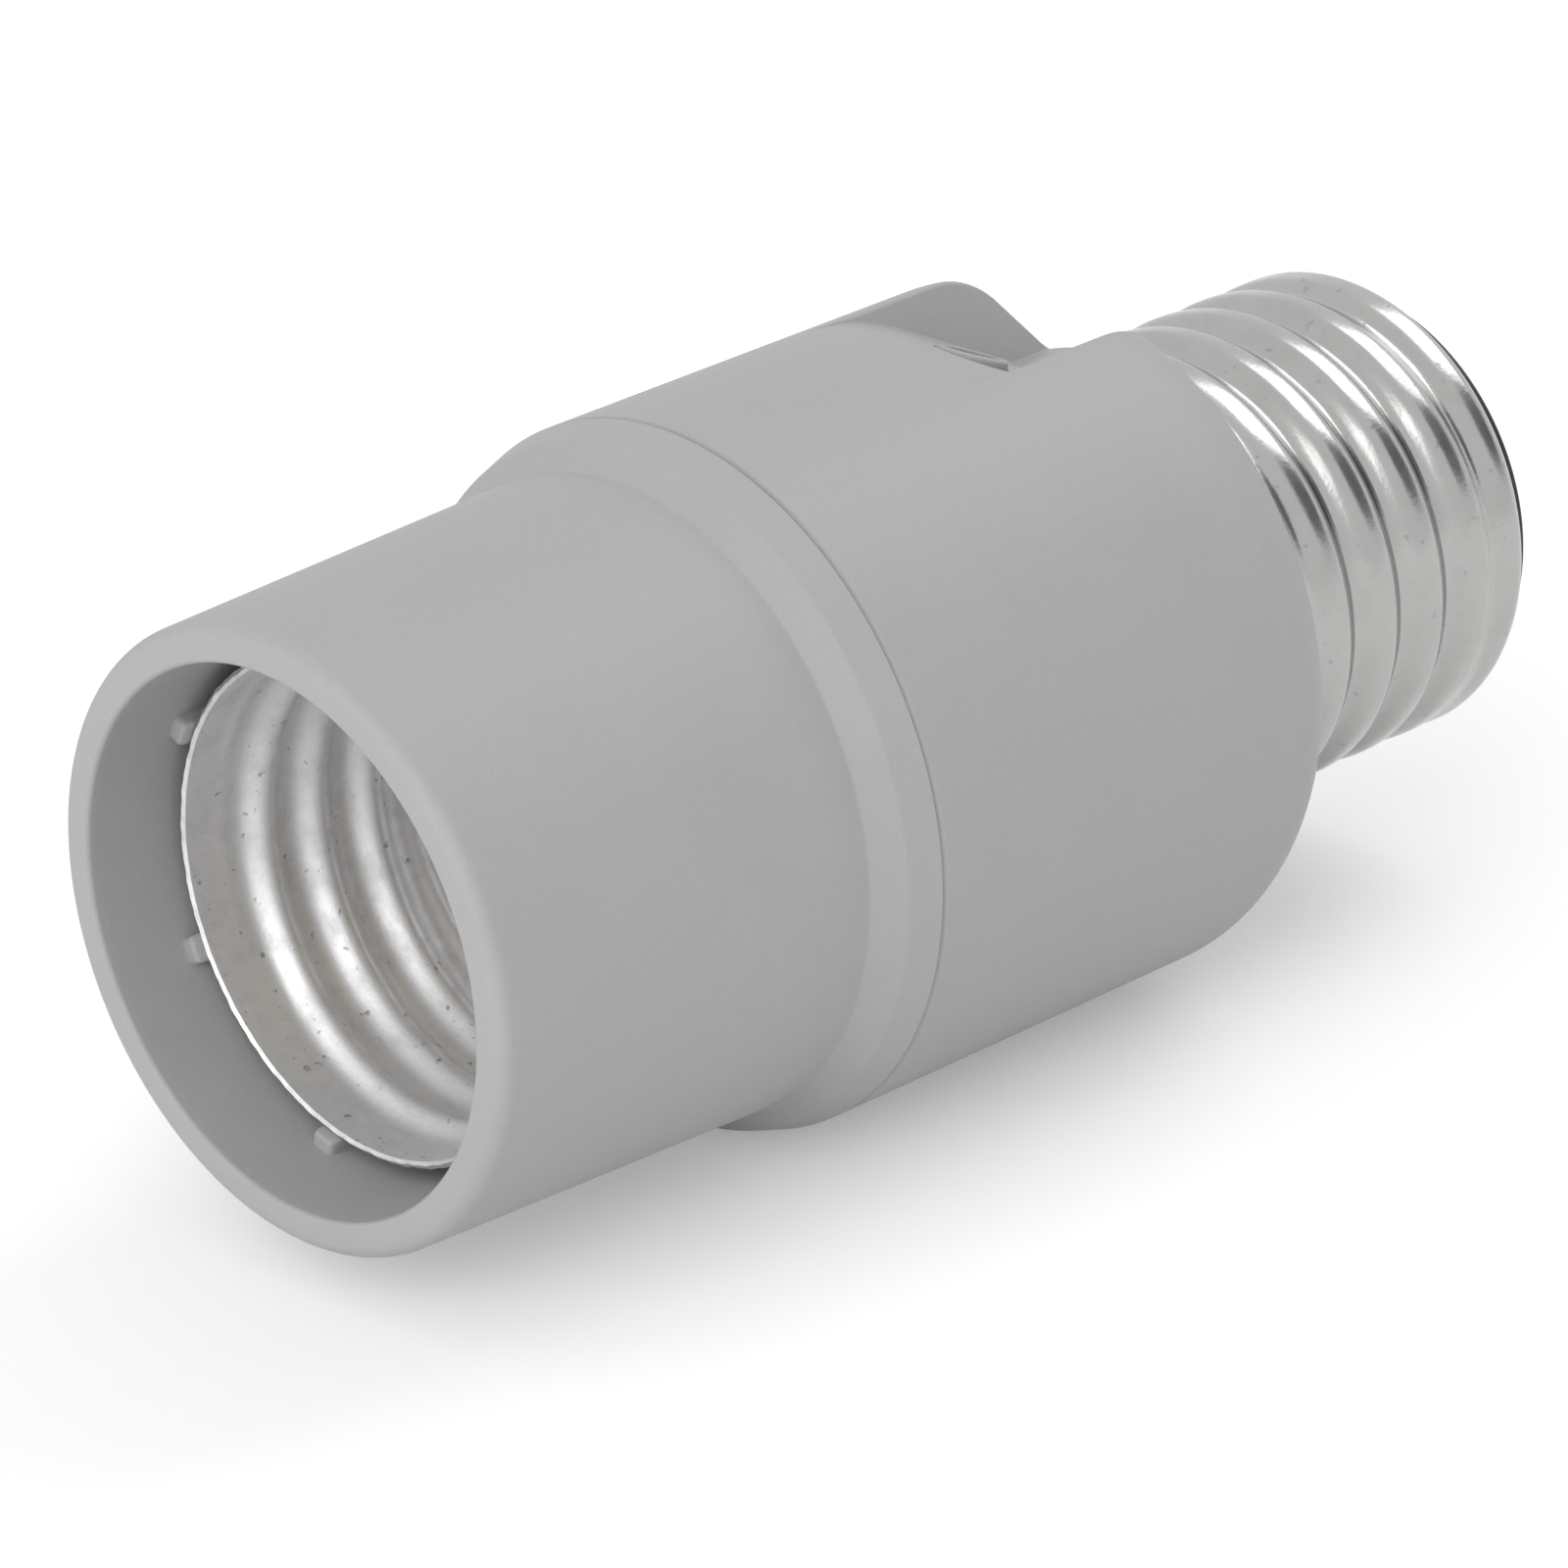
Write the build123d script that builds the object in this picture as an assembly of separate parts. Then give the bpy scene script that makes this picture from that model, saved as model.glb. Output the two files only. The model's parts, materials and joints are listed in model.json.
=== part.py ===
"""Screw-in lamp socket with a light sensor, modelled as it comes apart on a bench.

All sizes are millimetres. X is the lamp axis and points into the lampholder that the screw
base fits, with X = 0 where that base leaves the drum. Z points out of the sensor notch.
"""
import os
from math import asin, cos, degrees, radians, sin, tan

from build123d import *

os.makedirs("parts", exist_ok=True)

# Drum: the rear housing between the seam and the screw base
drum_d = 38.68
drum_length = 32.8
drum_wall = 2.0
rear_wall = 2.5
rear_slope = 53.0
rear_ring_d = 26.6
rear_edge_round = 5.0
seam_break = 0.2

# Sensor notch, a sector cut into the drum's rear edge
notch_angle = 38.0
notch_length = 14.5
notch_depth = 5.5
notch_slope = 37.5
notch_rim_round = 3.0
notch_wall = 1.8

# Sensor bezel, on the notch's ramp
bezel_d = 4.0
bezel_hole_d = 3.0
bezel_height = 0.4
bezel_edge = 0.15
bezel_setback = 3.85
bezel_tilt = 22.0
window_ledge = 1.4
sensor_boss_wall = 1.2

# Socket sleeve: the front housing, with its collar at the seam
sleeve_length = 24.36
sleeve_mouth_d = 33.54
sleeve_root_d = 34.92
mouth_bore_d = 29.44
root_bore_d = 28.8
lip_outer_round = 0.9
lip_inner_edge = 0.3
collar_face_d = 37.56
collar_chamfer = 1.46
collar_rim = 2.03
partition_setback = 1.5
partition_thickness = 2.5
spigot_length = 3.0
spigot_wall = 1.8
grip_rib_count = 7
grip_rib_start = -62.0
grip_rib_width = 1.6
grip_rib_length = 4.0
grip_rib_lead = 0.5

# Screw shell inside the socket
socket_thread_d = 26.6
socket_foot_d = 24.6
socket_thread_length = 12.4
socket_lip_depth = 5.2
socket_step = 0.7
shell_sheet = 0.35
shell_flange = 3.6
rivet_d = 2.0
rivet_head_d = 3.4
rivet_head = 0.6

# Centre contact, one bent strip
contact_width = 6.0
contact_sheet = 0.5
contact_leg_offset = 6.5
contact_stand_off = 1.2
contact_tail = 2.5
contact_blade = 11.5
contact_tilt = 20.0
contact_tip = 2.2
contact_tip_turn = 40.0
contact_bend = 1.0
contact_travel = 6.0

# Screw base
base_thread_d = 26.3
base_thread_depth = 0.8
base_ridge_height = 0.74
base_thread_crest = 1.1
base_thread_root = 0.5
base_crest_x = 2.266
thread_pitch = 3.629
base_neck = 1.0
base_end_band = 1.6
base_sheet = 0.3
base_length = 18.0
base_end_round = 1.0
base_curl = 0.5
boss_length = 13.2
boss_wall = 2.5
insulator_rim = 1.0
insulator_nose = 2.5
insulator_face_d = 13.0
eyelet_d = 9.6
eyelet_thickness = 0.8
eyelet_stem_d = 3.0
solder_d = 5.6
solder_height = 1.4

# Circuit board and what stands on it
board_thickness = 1.6
board_rib_width = 2.0
board_rib_height = 1.6
board_rib_angles = (70.0, 130.0, 230.0, 290.0)
photocell_d = 5.0
photocell_thickness = 2.1
photocell_lead_pitch = 2.54
photocell_lead_reach = 2.5
lead_d = 0.6
can_d = 6.3
can_height = 11.0
can_groove = 0.6
can_place = (-8.5, 4.5)
film_size = (10.0, 4.5, 8.0)
film_place = (7.5, 4.5)
thyristor_size = (8.0, 2.8, 11.0)
thyristor_stand = 3.0
thyristor_place = (-7.0, -5.0)
transistor_d = 4.6
transistor_height = 4.6
transistor_stand = 2.5
transistor_across = -1.2
transistor_inset = 10.04
diode_d = 2.7
diode_length = 5.2
diode_pitch = 10.0
diode_spacing = 3.2
diode_count = 4
diode_place = (6.0, -1.5)
resistor_d = 2.4
resistor_length = 6.3
resistor_pitch = 9.0
resistor_places = ((-7.0, 9.8), (7.0, 9.8), (-7.0, -9.2))
wire_d = 1.6
wire_sway = 1.5
link_wire_d = 1.2

# Clearances
slip = 0.15
board_play = 0.3
contact_play = 0.3

# Places worked out from those sizes
drum_r = drum_d / 2
cavity_r = drum_r - drum_wall
seam_x = -drum_length
collar_x = seam_x - collar_rim
root_x = collar_x - collar_chamfer
mouth_x = root_x - sleeve_length
partition_rear_x = seam_x - partition_setback
partition_x = partition_rear_x - partition_thickness
spigot_x = seam_x + spigot_length
board_x = spigot_x + board_thickness
board_r = cavity_r - board_play
spigot_r = cavity_r - slip
shell_lip_x = mouth_x + socket_lip_depth
shell_step_x = shell_lip_x + socket_thread_length
shell_r = socket_thread_d / 2
foot_r = socket_foot_d / 2
rivet_ring_r = foot_r - shell_flange / 2
base_r = base_thread_d / 2
base_bore_r = base_r - base_thread_depth - base_sheet
boss_r = base_bore_r - slip
boss_bore_r = boss_r - boss_wall
notch_floor_r = drum_r - notch_depth
rear_ring_r = rear_ring_d / 2
cone_x = (rear_ring_r - drum_r) / tan(radians(rear_slope))
board_plane = Plane(origin=(board_x, 0, 0), x_dir=(0, 1, 0), z_dir=(1, 0, 0))


def turned(corners, angle=360.0):
    """A profile turned about the lamp axis; a corner is (x, radius) or (x, radius, rounding)."""
    outline = make_face(Polyline(*[corner[:2] for corner in corners], close=True))
    for x, radius, *rounding in corners:
        if rounding:
            corner = outline.vertices().sort_by_distance((x, radius, 0))[0]
            outline = fillet(corner, rounding[0])
    return revolve(outline, axis=Axis.X, revolution_arc=angle)


def sector(corners, angle):
    """A profile turned through part of a circle, centred on the notch's direction."""
    return Rot(X=90 - angle / 2) * turned(corners, angle)


def around(angle, shape):
    """A shape drawn on the notch's direction, turned about the lamp axis."""
    return Rot(X=angle) * shape


def round_wire(points, diameter):
    """A wire of round section along straight runs that meet in mitres."""
    path = Polyline(*points)
    section = Plane(origin=path @ 0, z_dir=path % 0) * Circle(diameter / 2)
    return sweep(section, path=path, transition=Transition.RIGHT)


def notch_space(angle, inset):
    """The sensor notch: a sector with a sloping front and a round floor, less a wall's thickness."""
    slope = radians(notch_slope)
    reach = drum_r + drum_wall
    floor_r = notch_floor_r - inset
    rim_x = -notch_length - inset / sin(slope)
    front = rim_x - 2 * notch_rim_round
    return sector([
        (front, reach),
        (front, drum_r + slip),
        (rim_x, drum_r, notch_rim_round),
        (rim_x + (drum_r - floor_r) / tan(slope), floor_r),
        (drum_wall, floor_r),
        (drum_wall, reach),
    ], angle)


def sensor_plane():
    """The bezel's own plane, on the middle of the notch's slope and flatter than it."""
    height = drum_r - bezel_setback * tan(radians(notch_slope))
    tilt = radians(bezel_tilt)
    origin = (bezel_setback - notch_length, 0, height)
    return Plane(origin=origin, x_dir=(0, 1, 0), z_dir=(sin(tilt), 0, cos(tilt)))


def local_disc(radius, low, high):
    """A disc on the sensor's own axis, between two heights over the ramp."""
    return sensor_plane() * Pos(0, 0, low) * extrude(Circle(radius), high - low)


def make_rear_housing():
    """Drum with its notch, bezel, board ribs and the hollow boss that carries the screw base."""
    outside = turned([
        (seam_x, 0),
        (seam_x, drum_r - seam_break),
        (seam_x + seam_break, drum_r),
        (cone_x, drum_r, rear_edge_round),
        (0, rear_ring_r),
        (0, boss_r),
        (boss_length, boss_r),
        (boss_length, 0),
    ])
    slope = tan(radians(rear_slope))
    inner_cone_r = drum_r - drum_wall / cos(radians(rear_slope))
    cavity = turned([
        (seam_x, 0),
        (seam_x, cavity_r),
        (cone_x - (cavity_r - inner_cone_r) / slope, cavity_r),
        (-rear_wall, inner_cone_r + (rear_wall + cone_x) * slope),
        (-rear_wall, 0),
    ])
    wall_angle = notch_angle + 2 * degrees(notch_wall / notch_floor_r)
    ribs = Part()
    for angle in board_rib_angles:
        rib_height = board_rib_height + drum_wall / 2
        rib_middle = cavity_r - board_rib_height + rib_height / 2
        rib = Pos(board_x / 2, 0, rib_middle) * Box(-board_x, board_rib_width, rib_height)
        ribs += around(angle, rib)
    cavity -= notch_space(wall_angle, notch_wall)
    cavity -= ribs & turned([(board_x, 0), (board_x, drum_r), (0, drum_r), (0, 0)])
    pocket_floor = -window_ledge
    pocket_depth = window_ledge + photocell_thickness
    pocket_r = photocell_d / 2 + slip
    cavity -= local_disc(pocket_r + sensor_boss_wall, -pocket_depth, pocket_floor)

    housing = outside - cavity
    housing -= turned([(-2 * rear_wall, 0), (-2 * rear_wall, boss_bore_r),
                       (boss_length, boss_bore_r), (boss_length, 0)])
    housing -= notch_space(notch_angle, 0)
    bezel = local_disc(bezel_d / 2, -window_ledge, bezel_height)
    rim = bezel.edges().filter_by(GeomType.CIRCLE).sort_by(Axis.Z)[-1]
    housing += chamfer(rim, bezel_edge)
    housing -= local_disc(bezel_hole_d / 2, -pocket_depth, 2 * bezel_height)
    housing -= local_disc(pocket_r, -2 * pocket_depth, pocket_floor)
    slot_depth = 2 * wire_d
    slot = Box(slot_depth, wire_d + 2 * slip, 3 * boss_wall)
    housing -= Pos(boss_length - slot_depth / 2, 0, -boss_r) * slot
    return housing


def make_socket_sleeve():
    """Front housing: sleeve, collar, partition and the spigot that plugs into the drum."""
    mouth_r = mouth_bore_d / 2
    root_bore_r = root_bore_d / 2
    body = turned([
        (partition_x, 0),
        (partition_x, root_bore_r),
        (mouth_x + lip_inner_edge, mouth_r),
        (mouth_x, mouth_r + lip_inner_edge),
        (mouth_x, sleeve_mouth_d / 2, lip_outer_round),
        (root_x, sleeve_root_d / 2),
        (collar_x, collar_face_d / 2),
        (seam_x - seam_break, drum_r),
        (seam_x, drum_r - seam_break),
        (seam_x, spigot_r),
        (spigot_x, spigot_r),
        (spigot_x, spigot_r - spigot_wall),
        (partition_rear_x, spigot_r - spigot_wall),
        (partition_rear_x, 0),
    ])
    rib_top_r = shell_r + shell_sheet + slip
    rib_height = mouth_r - rib_top_r + 2 * slip
    rib_middle_x = shell_lip_x - grip_rib_lead + grip_rib_length / 2
    rib_middle_r = rib_top_r + rib_height / 2
    rib = Pos(rib_middle_x, 0, rib_middle_r) * Box(grip_rib_length, grip_rib_width, rib_height)
    for step in range(grip_rib_count):
        body += around(grip_rib_start + step * 360 / grip_rib_count, rib)
    for side in (-1, 1):
        hole = Rot(Y=90) * Cylinder(rivet_d / 2 + slip, 4 * partition_thickness)
        body -= Pos(partition_x, side * rivet_ring_r, 0) * hole
    leg_swing = (contact_stand_off + partition_thickness) * sin(radians(contact_travel))
    slot_height = contact_sheet + leg_swing + contact_play + slip
    slot_top = -contact_leg_offset + contact_sheet / 2 + slip
    slot = Box(4 * partition_thickness, contact_width + 2 * contact_play, slot_height)
    body -= Pos(partition_x, 0, slot_top - slot_height / 2) * slot
    return body


def make_socket_shell():
    """Drawn shell that takes the lamp's cap, with a narrower foot and an inturned flange."""
    shell = turned([
        (shell_lip_x, shell_r),
        (shell_step_x, shell_r),
        (shell_step_x + socket_step, foot_r),
        (partition_x - shell_sheet, foot_r),
        (partition_x - shell_sheet, foot_r - shell_flange),
        (partition_x, foot_r - shell_flange),
        (partition_x, foot_r + shell_sheet),
        (shell_step_x + socket_step, foot_r + shell_sheet),
        (shell_step_x, shell_r + shell_sheet),
        (shell_lip_x, shell_r + shell_sheet),
    ])
    for side in (-1, 1):
        hole = Rot(Y=90) * Cylinder(rivet_d / 2 + slip, 4 * shell_sheet)
        shell -= Pos(partition_x, side * rivet_ring_r, 0) * hole
    return shell


def make_shell_rivets():
    """Two rivets that hold the shell's flange to the partition."""
    front = partition_x - shell_sheet
    rivet = turned([
        (front - rivet_head, 0),
        (front - rivet_head, rivet_head_d / 2 - rivet_head / 2),
        (front - rivet_head / 2, rivet_head_d / 2),
        (front, rivet_head_d / 2),
        (front, rivet_d / 2),
        (partition_rear_x, rivet_d / 2),
        (partition_rear_x, rivet_head_d / 2),
        (partition_rear_x + rivet_head / 2, rivet_head_d / 2),
        (partition_rear_x + rivet_head, rivet_head_d / 2 - rivet_head / 2),
        (partition_rear_x + rivet_head, 0),
    ])
    return [Pos(0, side * rivet_ring_r, 0) * rivet for side in (-1, 1)]


def make_centre_contact():
    """Springy strip: tail and leg behind the partition, blade and turned tip in front."""
    corner_x = partition_x - contact_stand_off
    tip_lean = radians(contact_tilt - contact_tip_turn)
    crown_x = corner_x - contact_blade * sin(radians(contact_tilt))
    crown_z = -contact_leg_offset + contact_blade * cos(radians(contact_tilt))
    path = FilletPolyline(
        (partition_rear_x + contact_tail, 0, -contact_leg_offset),
        (corner_x, 0, -contact_leg_offset),
        (crown_x, 0, crown_z),
        (crown_x - contact_tip * sin(tip_lean), 0, crown_z + contact_tip * cos(tip_lean)),
        radius=contact_bend,
    )
    section = Plane(origin=path @ 0, x_dir=(0, 1, 0), z_dir=path % 0)
    return sweep(section * Rectangle(contact_width, contact_sheet), path=path)


def thread_ridge(low, high):
    """Right-handed ridge of the base's thread, cut flat where it runs into the plain bands."""
    root_r = base_r - base_thread_depth
    first = base_crest_x - 2 * thread_pitch
    path = Helix(thread_pitch, high + thread_pitch - first, root_r, center=(first, 0, 0), direction=(1, 0, 0))
    start = path @ 0
    plane = Plane(origin=start, x_dir=(0, start.Y, start.Z), z_dir=path % 0)
    foot = (thread_pitch - base_thread_root) / 2
    crest = base_thread_crest / 2
    section = Polyline(
        (-base_sheet / 2, -foot),
        (0, -foot),
        (base_ridge_height, -crest),
        (base_ridge_height, crest),
        (0, foot),
        (-base_sheet / 2, foot),
        close=True,
    )
    ridge = sweep(plane * make_face(section), path=path, is_frenet=True)
    return ridge & turned([(low, 0), (low, drum_r), (high, drum_r), (high, 0)])


def make_base_shell():
    """Screw shell of the base: a threaded wall between two plain bands, its end curled in."""
    root_r = base_r - base_thread_depth
    end_band_x = base_length - base_end_band
    shell = turned([
        (0, base_bore_r),
        (0, base_r),
        (base_neck, base_r),
        (base_neck, root_r),
        (end_band_x, root_r),
        (end_band_x, base_r),
        (base_length, base_r, base_end_round),
        (base_length, base_bore_r - base_curl),
        (base_length - base_curl, base_bore_r - base_curl),
        (base_length - base_curl, base_bore_r),
    ])
    return shell + thread_ridge(base_neck, end_band_x)


def make_base_insulator():
    """Black insulator that fills the base's end, seated between boss and curled edge."""
    shoulder_x = base_length - base_curl
    nose_r = base_bore_r - base_curl - slip
    stem_r = eyelet_stem_d / 2 + slip
    return turned([
        (boss_length, stem_r),
        (boss_length, boss_r),
        (shoulder_x, boss_r),
        (shoulder_x, nose_r),
        (base_length + insulator_rim, nose_r),
        (base_length + insulator_nose, insulator_face_d / 2),
        (base_length + insulator_nose, stem_r),
    ])


def make_base_contact():
    """Brass eyelet in the middle of the insulator, with its stem."""
    face_x = base_length + insulator_nose
    return turned([
        (boss_length - contact_tail, 0),
        (boss_length - contact_tail, eyelet_stem_d / 2),
        (face_x, eyelet_stem_d / 2),
        (face_x, eyelet_d / 2),
        (face_x + eyelet_thickness / 2, eyelet_d / 2),
        (face_x + eyelet_thickness, eyelet_d / 2 - eyelet_thickness / 2),
        (face_x + eyelet_thickness, 0),
    ])


def make_contact_solder():
    """Low dome of solder on the eyelet."""
    face_x = base_length + insulator_nose + eyelet_thickness
    foot_r = solder_d / 2
    dome_r = (solder_height**2 + foot_r**2) / (2 * solder_height)
    centre_x = face_x + solder_height - dome_r
    outline = make_face([
        Line((face_x, 0), (face_x, foot_r)),
        CenterArc((centre_x, 0), dome_r, 0, degrees(asin(foot_r / dome_r))),
        Line((face_x + solder_height, 0), (face_x, 0)),
    ])
    return revolve(outline, axis=Axis.X)


def make_circuit_board():
    """Round board, clamped between the spigot and the drum's ribs."""
    return turned([(spigot_x, 0), (spigot_x, board_r), (board_x, board_r), (board_x, 0)])


def make_photocell():
    """Light-dependent resistor in the boss behind the bezel, its leads bent to the board."""
    back = -window_ledge - photocell_thickness
    cell = local_disc(photocell_d / 2, back, -window_ledge)
    plane = sensor_plane()
    for side in (-1, 1):
        offset = side * photocell_lead_pitch / 2
        start = plane.from_local_coords((offset, 0, back / 2))
        elbow = plane.from_local_coords((offset, 0, back - photocell_lead_reach))
        foot = (board_x, elbow.Y, elbow.Z)
        cell += round_wire([start, elbow, foot], lead_d)
    return cell


def on_board(place, shape):
    """A part drawn on its feet, set down on the board's rear face."""
    across, up = place
    return board_plane * Pos(across, up, 0) * shape


def straight_leads(pitch, count, height):
    """A row of leads from the board up into a part's body."""
    leads = []
    for number in range(count):
        offset = (number - (count - 1) / 2) * pitch
        leads.append(Pos(offset, 0, height / 2) * Box(lead_d, lead_d, height))
    return leads


def make_smoothing_capacitor():
    """Electrolytic can with its crimp near the foot."""
    can = Rot(Y=-90) * turned([
        (0, 0),
        (0, can_d / 2),
        (2 * can_groove, can_d / 2),
        (3 * can_groove, can_d / 2 - can_groove),
        (4 * can_groove, can_d / 2),
        (can_height, can_d / 2),
        (can_height, 0),
    ])
    return on_board(can_place, can)


def make_film_capacitor():
    """Box capacitor with softened edges."""
    width, depth, height = film_size
    box = Pos(0, 0, height / 2) * Box(width, depth, height)
    return on_board(film_place, chamfer(box.edges().group_by(Axis.Z)[-1], lead_d))


def make_thyristor():
    """Flat power switch on three leads, with its fixing hole."""
    width, depth, height = thyristor_size
    body = Pos(0, 0, thyristor_stand + height / 2) * Box(width, depth, height)
    hole = Rot(X=90) * Cylinder(width / 5, 2 * depth)
    body -= Pos(0, 0, thyristor_stand + 0.7 * height) * hole
    for lead in straight_leads(width / 3.5, 3, thyristor_stand + lead_d):
        body += lead
    return on_board(thyristor_place, body)


def make_transistor():
    """Small signal transistor with its flat side, set in from the board's edge below the photocell."""
    flat = Pos(0, -transistor_d / 2, 0) * Rectangle(transistor_d, transistor_d / 2)
    body = Pos(0, 0, transistor_stand) * extrude(Circle(transistor_d / 2) - flat, transistor_height)
    for lead in straight_leads(transistor_d / 3.6, 3, transistor_stand + lead_d):
        body += lead
    return on_board((transistor_across, board_r - transistor_inset), body)


def axial_part(diameter, length, pitch):
    """Barrel lying on the board, with a lead bent down at each end."""
    height = diameter / 2 + slip
    part = Pos(0, 0, height) * Rot(Y=90) * Cylinder(diameter / 2, length)
    part += Pos(0, 0, height) * Box(pitch + lead_d, lead_d, lead_d)
    for side in (-1, 1):
        part += Pos(side * pitch / 2, 0, height / 2) * Box(lead_d, lead_d, height)
    return part


def make_rectifier_diodes():
    """Four rectifier diodes in a row."""
    diode = axial_part(diode_d, diode_length, diode_pitch)
    across, up = diode_place
    return [on_board((across, up - number * diode_spacing), diode) for number in range(diode_count)]


def make_resistors():
    """Three resistors beside the taller parts."""
    resistor = axial_part(resistor_d, resistor_length, resistor_pitch)
    return [on_board(place, resistor) for place in resistor_places]


def make_line_wire():
    """Live wire from the eyelet's stem to the middle of the board."""
    start_x = boss_length - contact_tail
    points = [
        (start_x, 0, 0),
        (0, 0, 0),
        (0.4 * board_x, 0, -wire_sway),
        (0.8 * board_x, 0, wire_sway),
        (board_x, 0, wire_sway),
    ]
    return round_wire(points, wire_d)


def make_neutral_wire():
    """Return wire from the base shell, through the boss's slot, to the board."""
    slot_x = boss_length - wire_d
    run_z = 0.75 * boss_bore_r
    foot_z = 1.35 * boss_bore_r
    points = [
        (slot_x, 0, -base_bore_r + slip / 2),
        (slot_x, 0, -run_z),
        (0.5 * board_x, -wire_sway, -run_z),
        (0.8 * board_x, -wire_sway, -foot_z),
        (board_x, -wire_sway, -foot_z),
    ]
    return round_wire(points, wire_d)


def make_load_wire():
    """Switched wire from the board to the centre contact's tail."""
    start_x = partition_rear_x + contact_tail / 3
    start_z = -contact_leg_offset + contact_sheet / 2 + contact_play + link_wire_d / 2
    third = (spigot_x - start_x) / 3
    points = [
        (start_x, 0, start_z),
        (start_x + third, 0, start_z),
        (start_x + 2 * third, 0, start_z + third),
        (spigot_x, 0, start_z + third),
    ]
    return round_wire(points, link_wire_d)


def make_shell_wire():
    """Return wire from a shell rivet to the board."""
    start_x = partition_rear_x + rivet_head
    third = (spigot_x - start_x) / 3
    points = [
        (start_x, rivet_ring_r, 0),
        (start_x + third, rivet_ring_r, 0),
        (start_x + 2 * third, rivet_ring_r - third, 0),
        (spigot_x, rivet_ring_r - third, 0),
    ]
    return round_wire(points, link_wire_d)


pieces = {
    "socket_sleeve": make_socket_sleeve(),
    "rear_housing": make_rear_housing(),
    "socket_shell": make_socket_shell(),
    "shell_rivets": make_shell_rivets(),
    "centre_contact": make_centre_contact(),
    "base_shell": make_base_shell(),
    "base_insulator": make_base_insulator(),
    "base_contact": make_base_contact(),
    "contact_solder": make_contact_solder(),
    "circuit_board": make_circuit_board(),
    "photocell": make_photocell(),
    "smoothing_capacitor": make_smoothing_capacitor(),
    "film_capacitor": make_film_capacitor(),
    "thyristor": make_thyristor(),
    "transistor": make_transistor(),
    "rectifier_diodes": make_rectifier_diodes(),
    "resistors": make_resistors(),
    "line_wire": make_line_wire(),
    "neutral_wire": make_neutral_wire(),
    "load_wire": make_load_wire(),
    "shell_wire": make_shell_wire(),
}

for name, piece in pieces.items():
    shape = Compound(children=piece) if isinstance(piece, list) else piece
    export_step(shape, f"parts/{name}.step")
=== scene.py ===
"""Looks of a screw-in lamp socket with a light sensor, dressed over its CAD frame.

X is the lamp axis and points into the lampholder; Z points out of the sensor notch. Angles about
the lamp axis are counted from the notch, right-handed about X. All lengths are metres.
"""

import json

import bmesh
import bpy
import numpy as np
from bpy.props import FloatProperty, FloatVectorProperty, IntProperty, PointerProperty
from bpy.types import Operator, Panel, PropertyGroup
from mathutils import Matrix, Vector


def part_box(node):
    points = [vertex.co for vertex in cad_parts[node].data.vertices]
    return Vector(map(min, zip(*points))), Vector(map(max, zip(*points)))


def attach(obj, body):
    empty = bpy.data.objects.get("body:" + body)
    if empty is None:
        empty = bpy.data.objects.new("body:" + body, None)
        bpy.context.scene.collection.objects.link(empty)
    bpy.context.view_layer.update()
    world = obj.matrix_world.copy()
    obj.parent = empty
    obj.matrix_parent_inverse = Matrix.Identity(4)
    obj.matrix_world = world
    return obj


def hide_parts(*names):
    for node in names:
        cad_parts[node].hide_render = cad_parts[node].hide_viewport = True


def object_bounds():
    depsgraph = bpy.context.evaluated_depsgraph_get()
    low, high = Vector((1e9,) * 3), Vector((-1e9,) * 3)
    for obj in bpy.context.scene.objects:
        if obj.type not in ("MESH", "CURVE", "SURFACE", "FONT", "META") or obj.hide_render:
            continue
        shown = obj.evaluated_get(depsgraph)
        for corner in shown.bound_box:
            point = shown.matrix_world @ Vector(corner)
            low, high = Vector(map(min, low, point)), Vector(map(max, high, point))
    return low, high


bl_info = {
    "name": "Lamp Socket Dresser",
    "version": (1, 0, 0),
    "blender": (4, 5, 0),
    "location": "View3D > Sidebar > Lamp Socket",
    "description": "Moulded housings, rolled threads, sensor bezel, contacts and stage of a lamp socket",
    "category": "Object",
}

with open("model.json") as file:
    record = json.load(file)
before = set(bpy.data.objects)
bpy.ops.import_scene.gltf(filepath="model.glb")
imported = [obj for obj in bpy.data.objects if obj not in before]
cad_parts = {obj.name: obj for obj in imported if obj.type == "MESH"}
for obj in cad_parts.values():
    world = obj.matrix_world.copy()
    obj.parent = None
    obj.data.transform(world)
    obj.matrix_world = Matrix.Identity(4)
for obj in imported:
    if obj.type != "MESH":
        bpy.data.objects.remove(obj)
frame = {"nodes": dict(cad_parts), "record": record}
CAD_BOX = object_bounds()

SLEEVE_LOW, SLEEVE_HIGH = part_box("socket_sleeve")
DRUM_LOW, DRUM_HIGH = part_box("rear_housing")
SHELL_LOW, SHELL_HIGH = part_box("socket_shell")
BASE_LOW, BASE_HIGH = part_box("base_shell")
NOSE_LOW, NOSE_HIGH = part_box("base_insulator")
EYELET_LOW, EYELET_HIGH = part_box("base_contact")
SOLDER_LOW, SOLDER_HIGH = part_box("contact_solder")
STRIP_LOW, STRIP_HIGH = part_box("centre_contact")
RIVET_LOW, RIVET_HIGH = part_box("shell_rivets")

AROUND = 288
RUN_STEP = 0.0006
FINE_STEP = 0.00025
SHARP_ANGLE = np.radians(32.0)
HAIR = 1e-7

# Points round a turn: threaded shells, small turned pieces, the eyelet, a rivet and the strip's section
THREAD_AROUND = 384
SMALL_AROUND = 96
EYELET_AROUND = 144
RIVET_AROUND = 72
STRIP_AROUND = 48

# Base shell, along X: the neck's end, where the crest begins, and where the thread swells and runs out
NECK_END = 0.0004
CREST_START = 0.0016
NECK_ROUND = 0.0008
BASE_SWELL = (0.0004, 0.0028)
BASE_RUN_OUT = (0.0134, 0.0172)
# Power of each thread's wave; a higher one leaves a narrower groove or ridge
BASE_NARROW = 1.9
SOCKET_NARROW = 1.3

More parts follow.
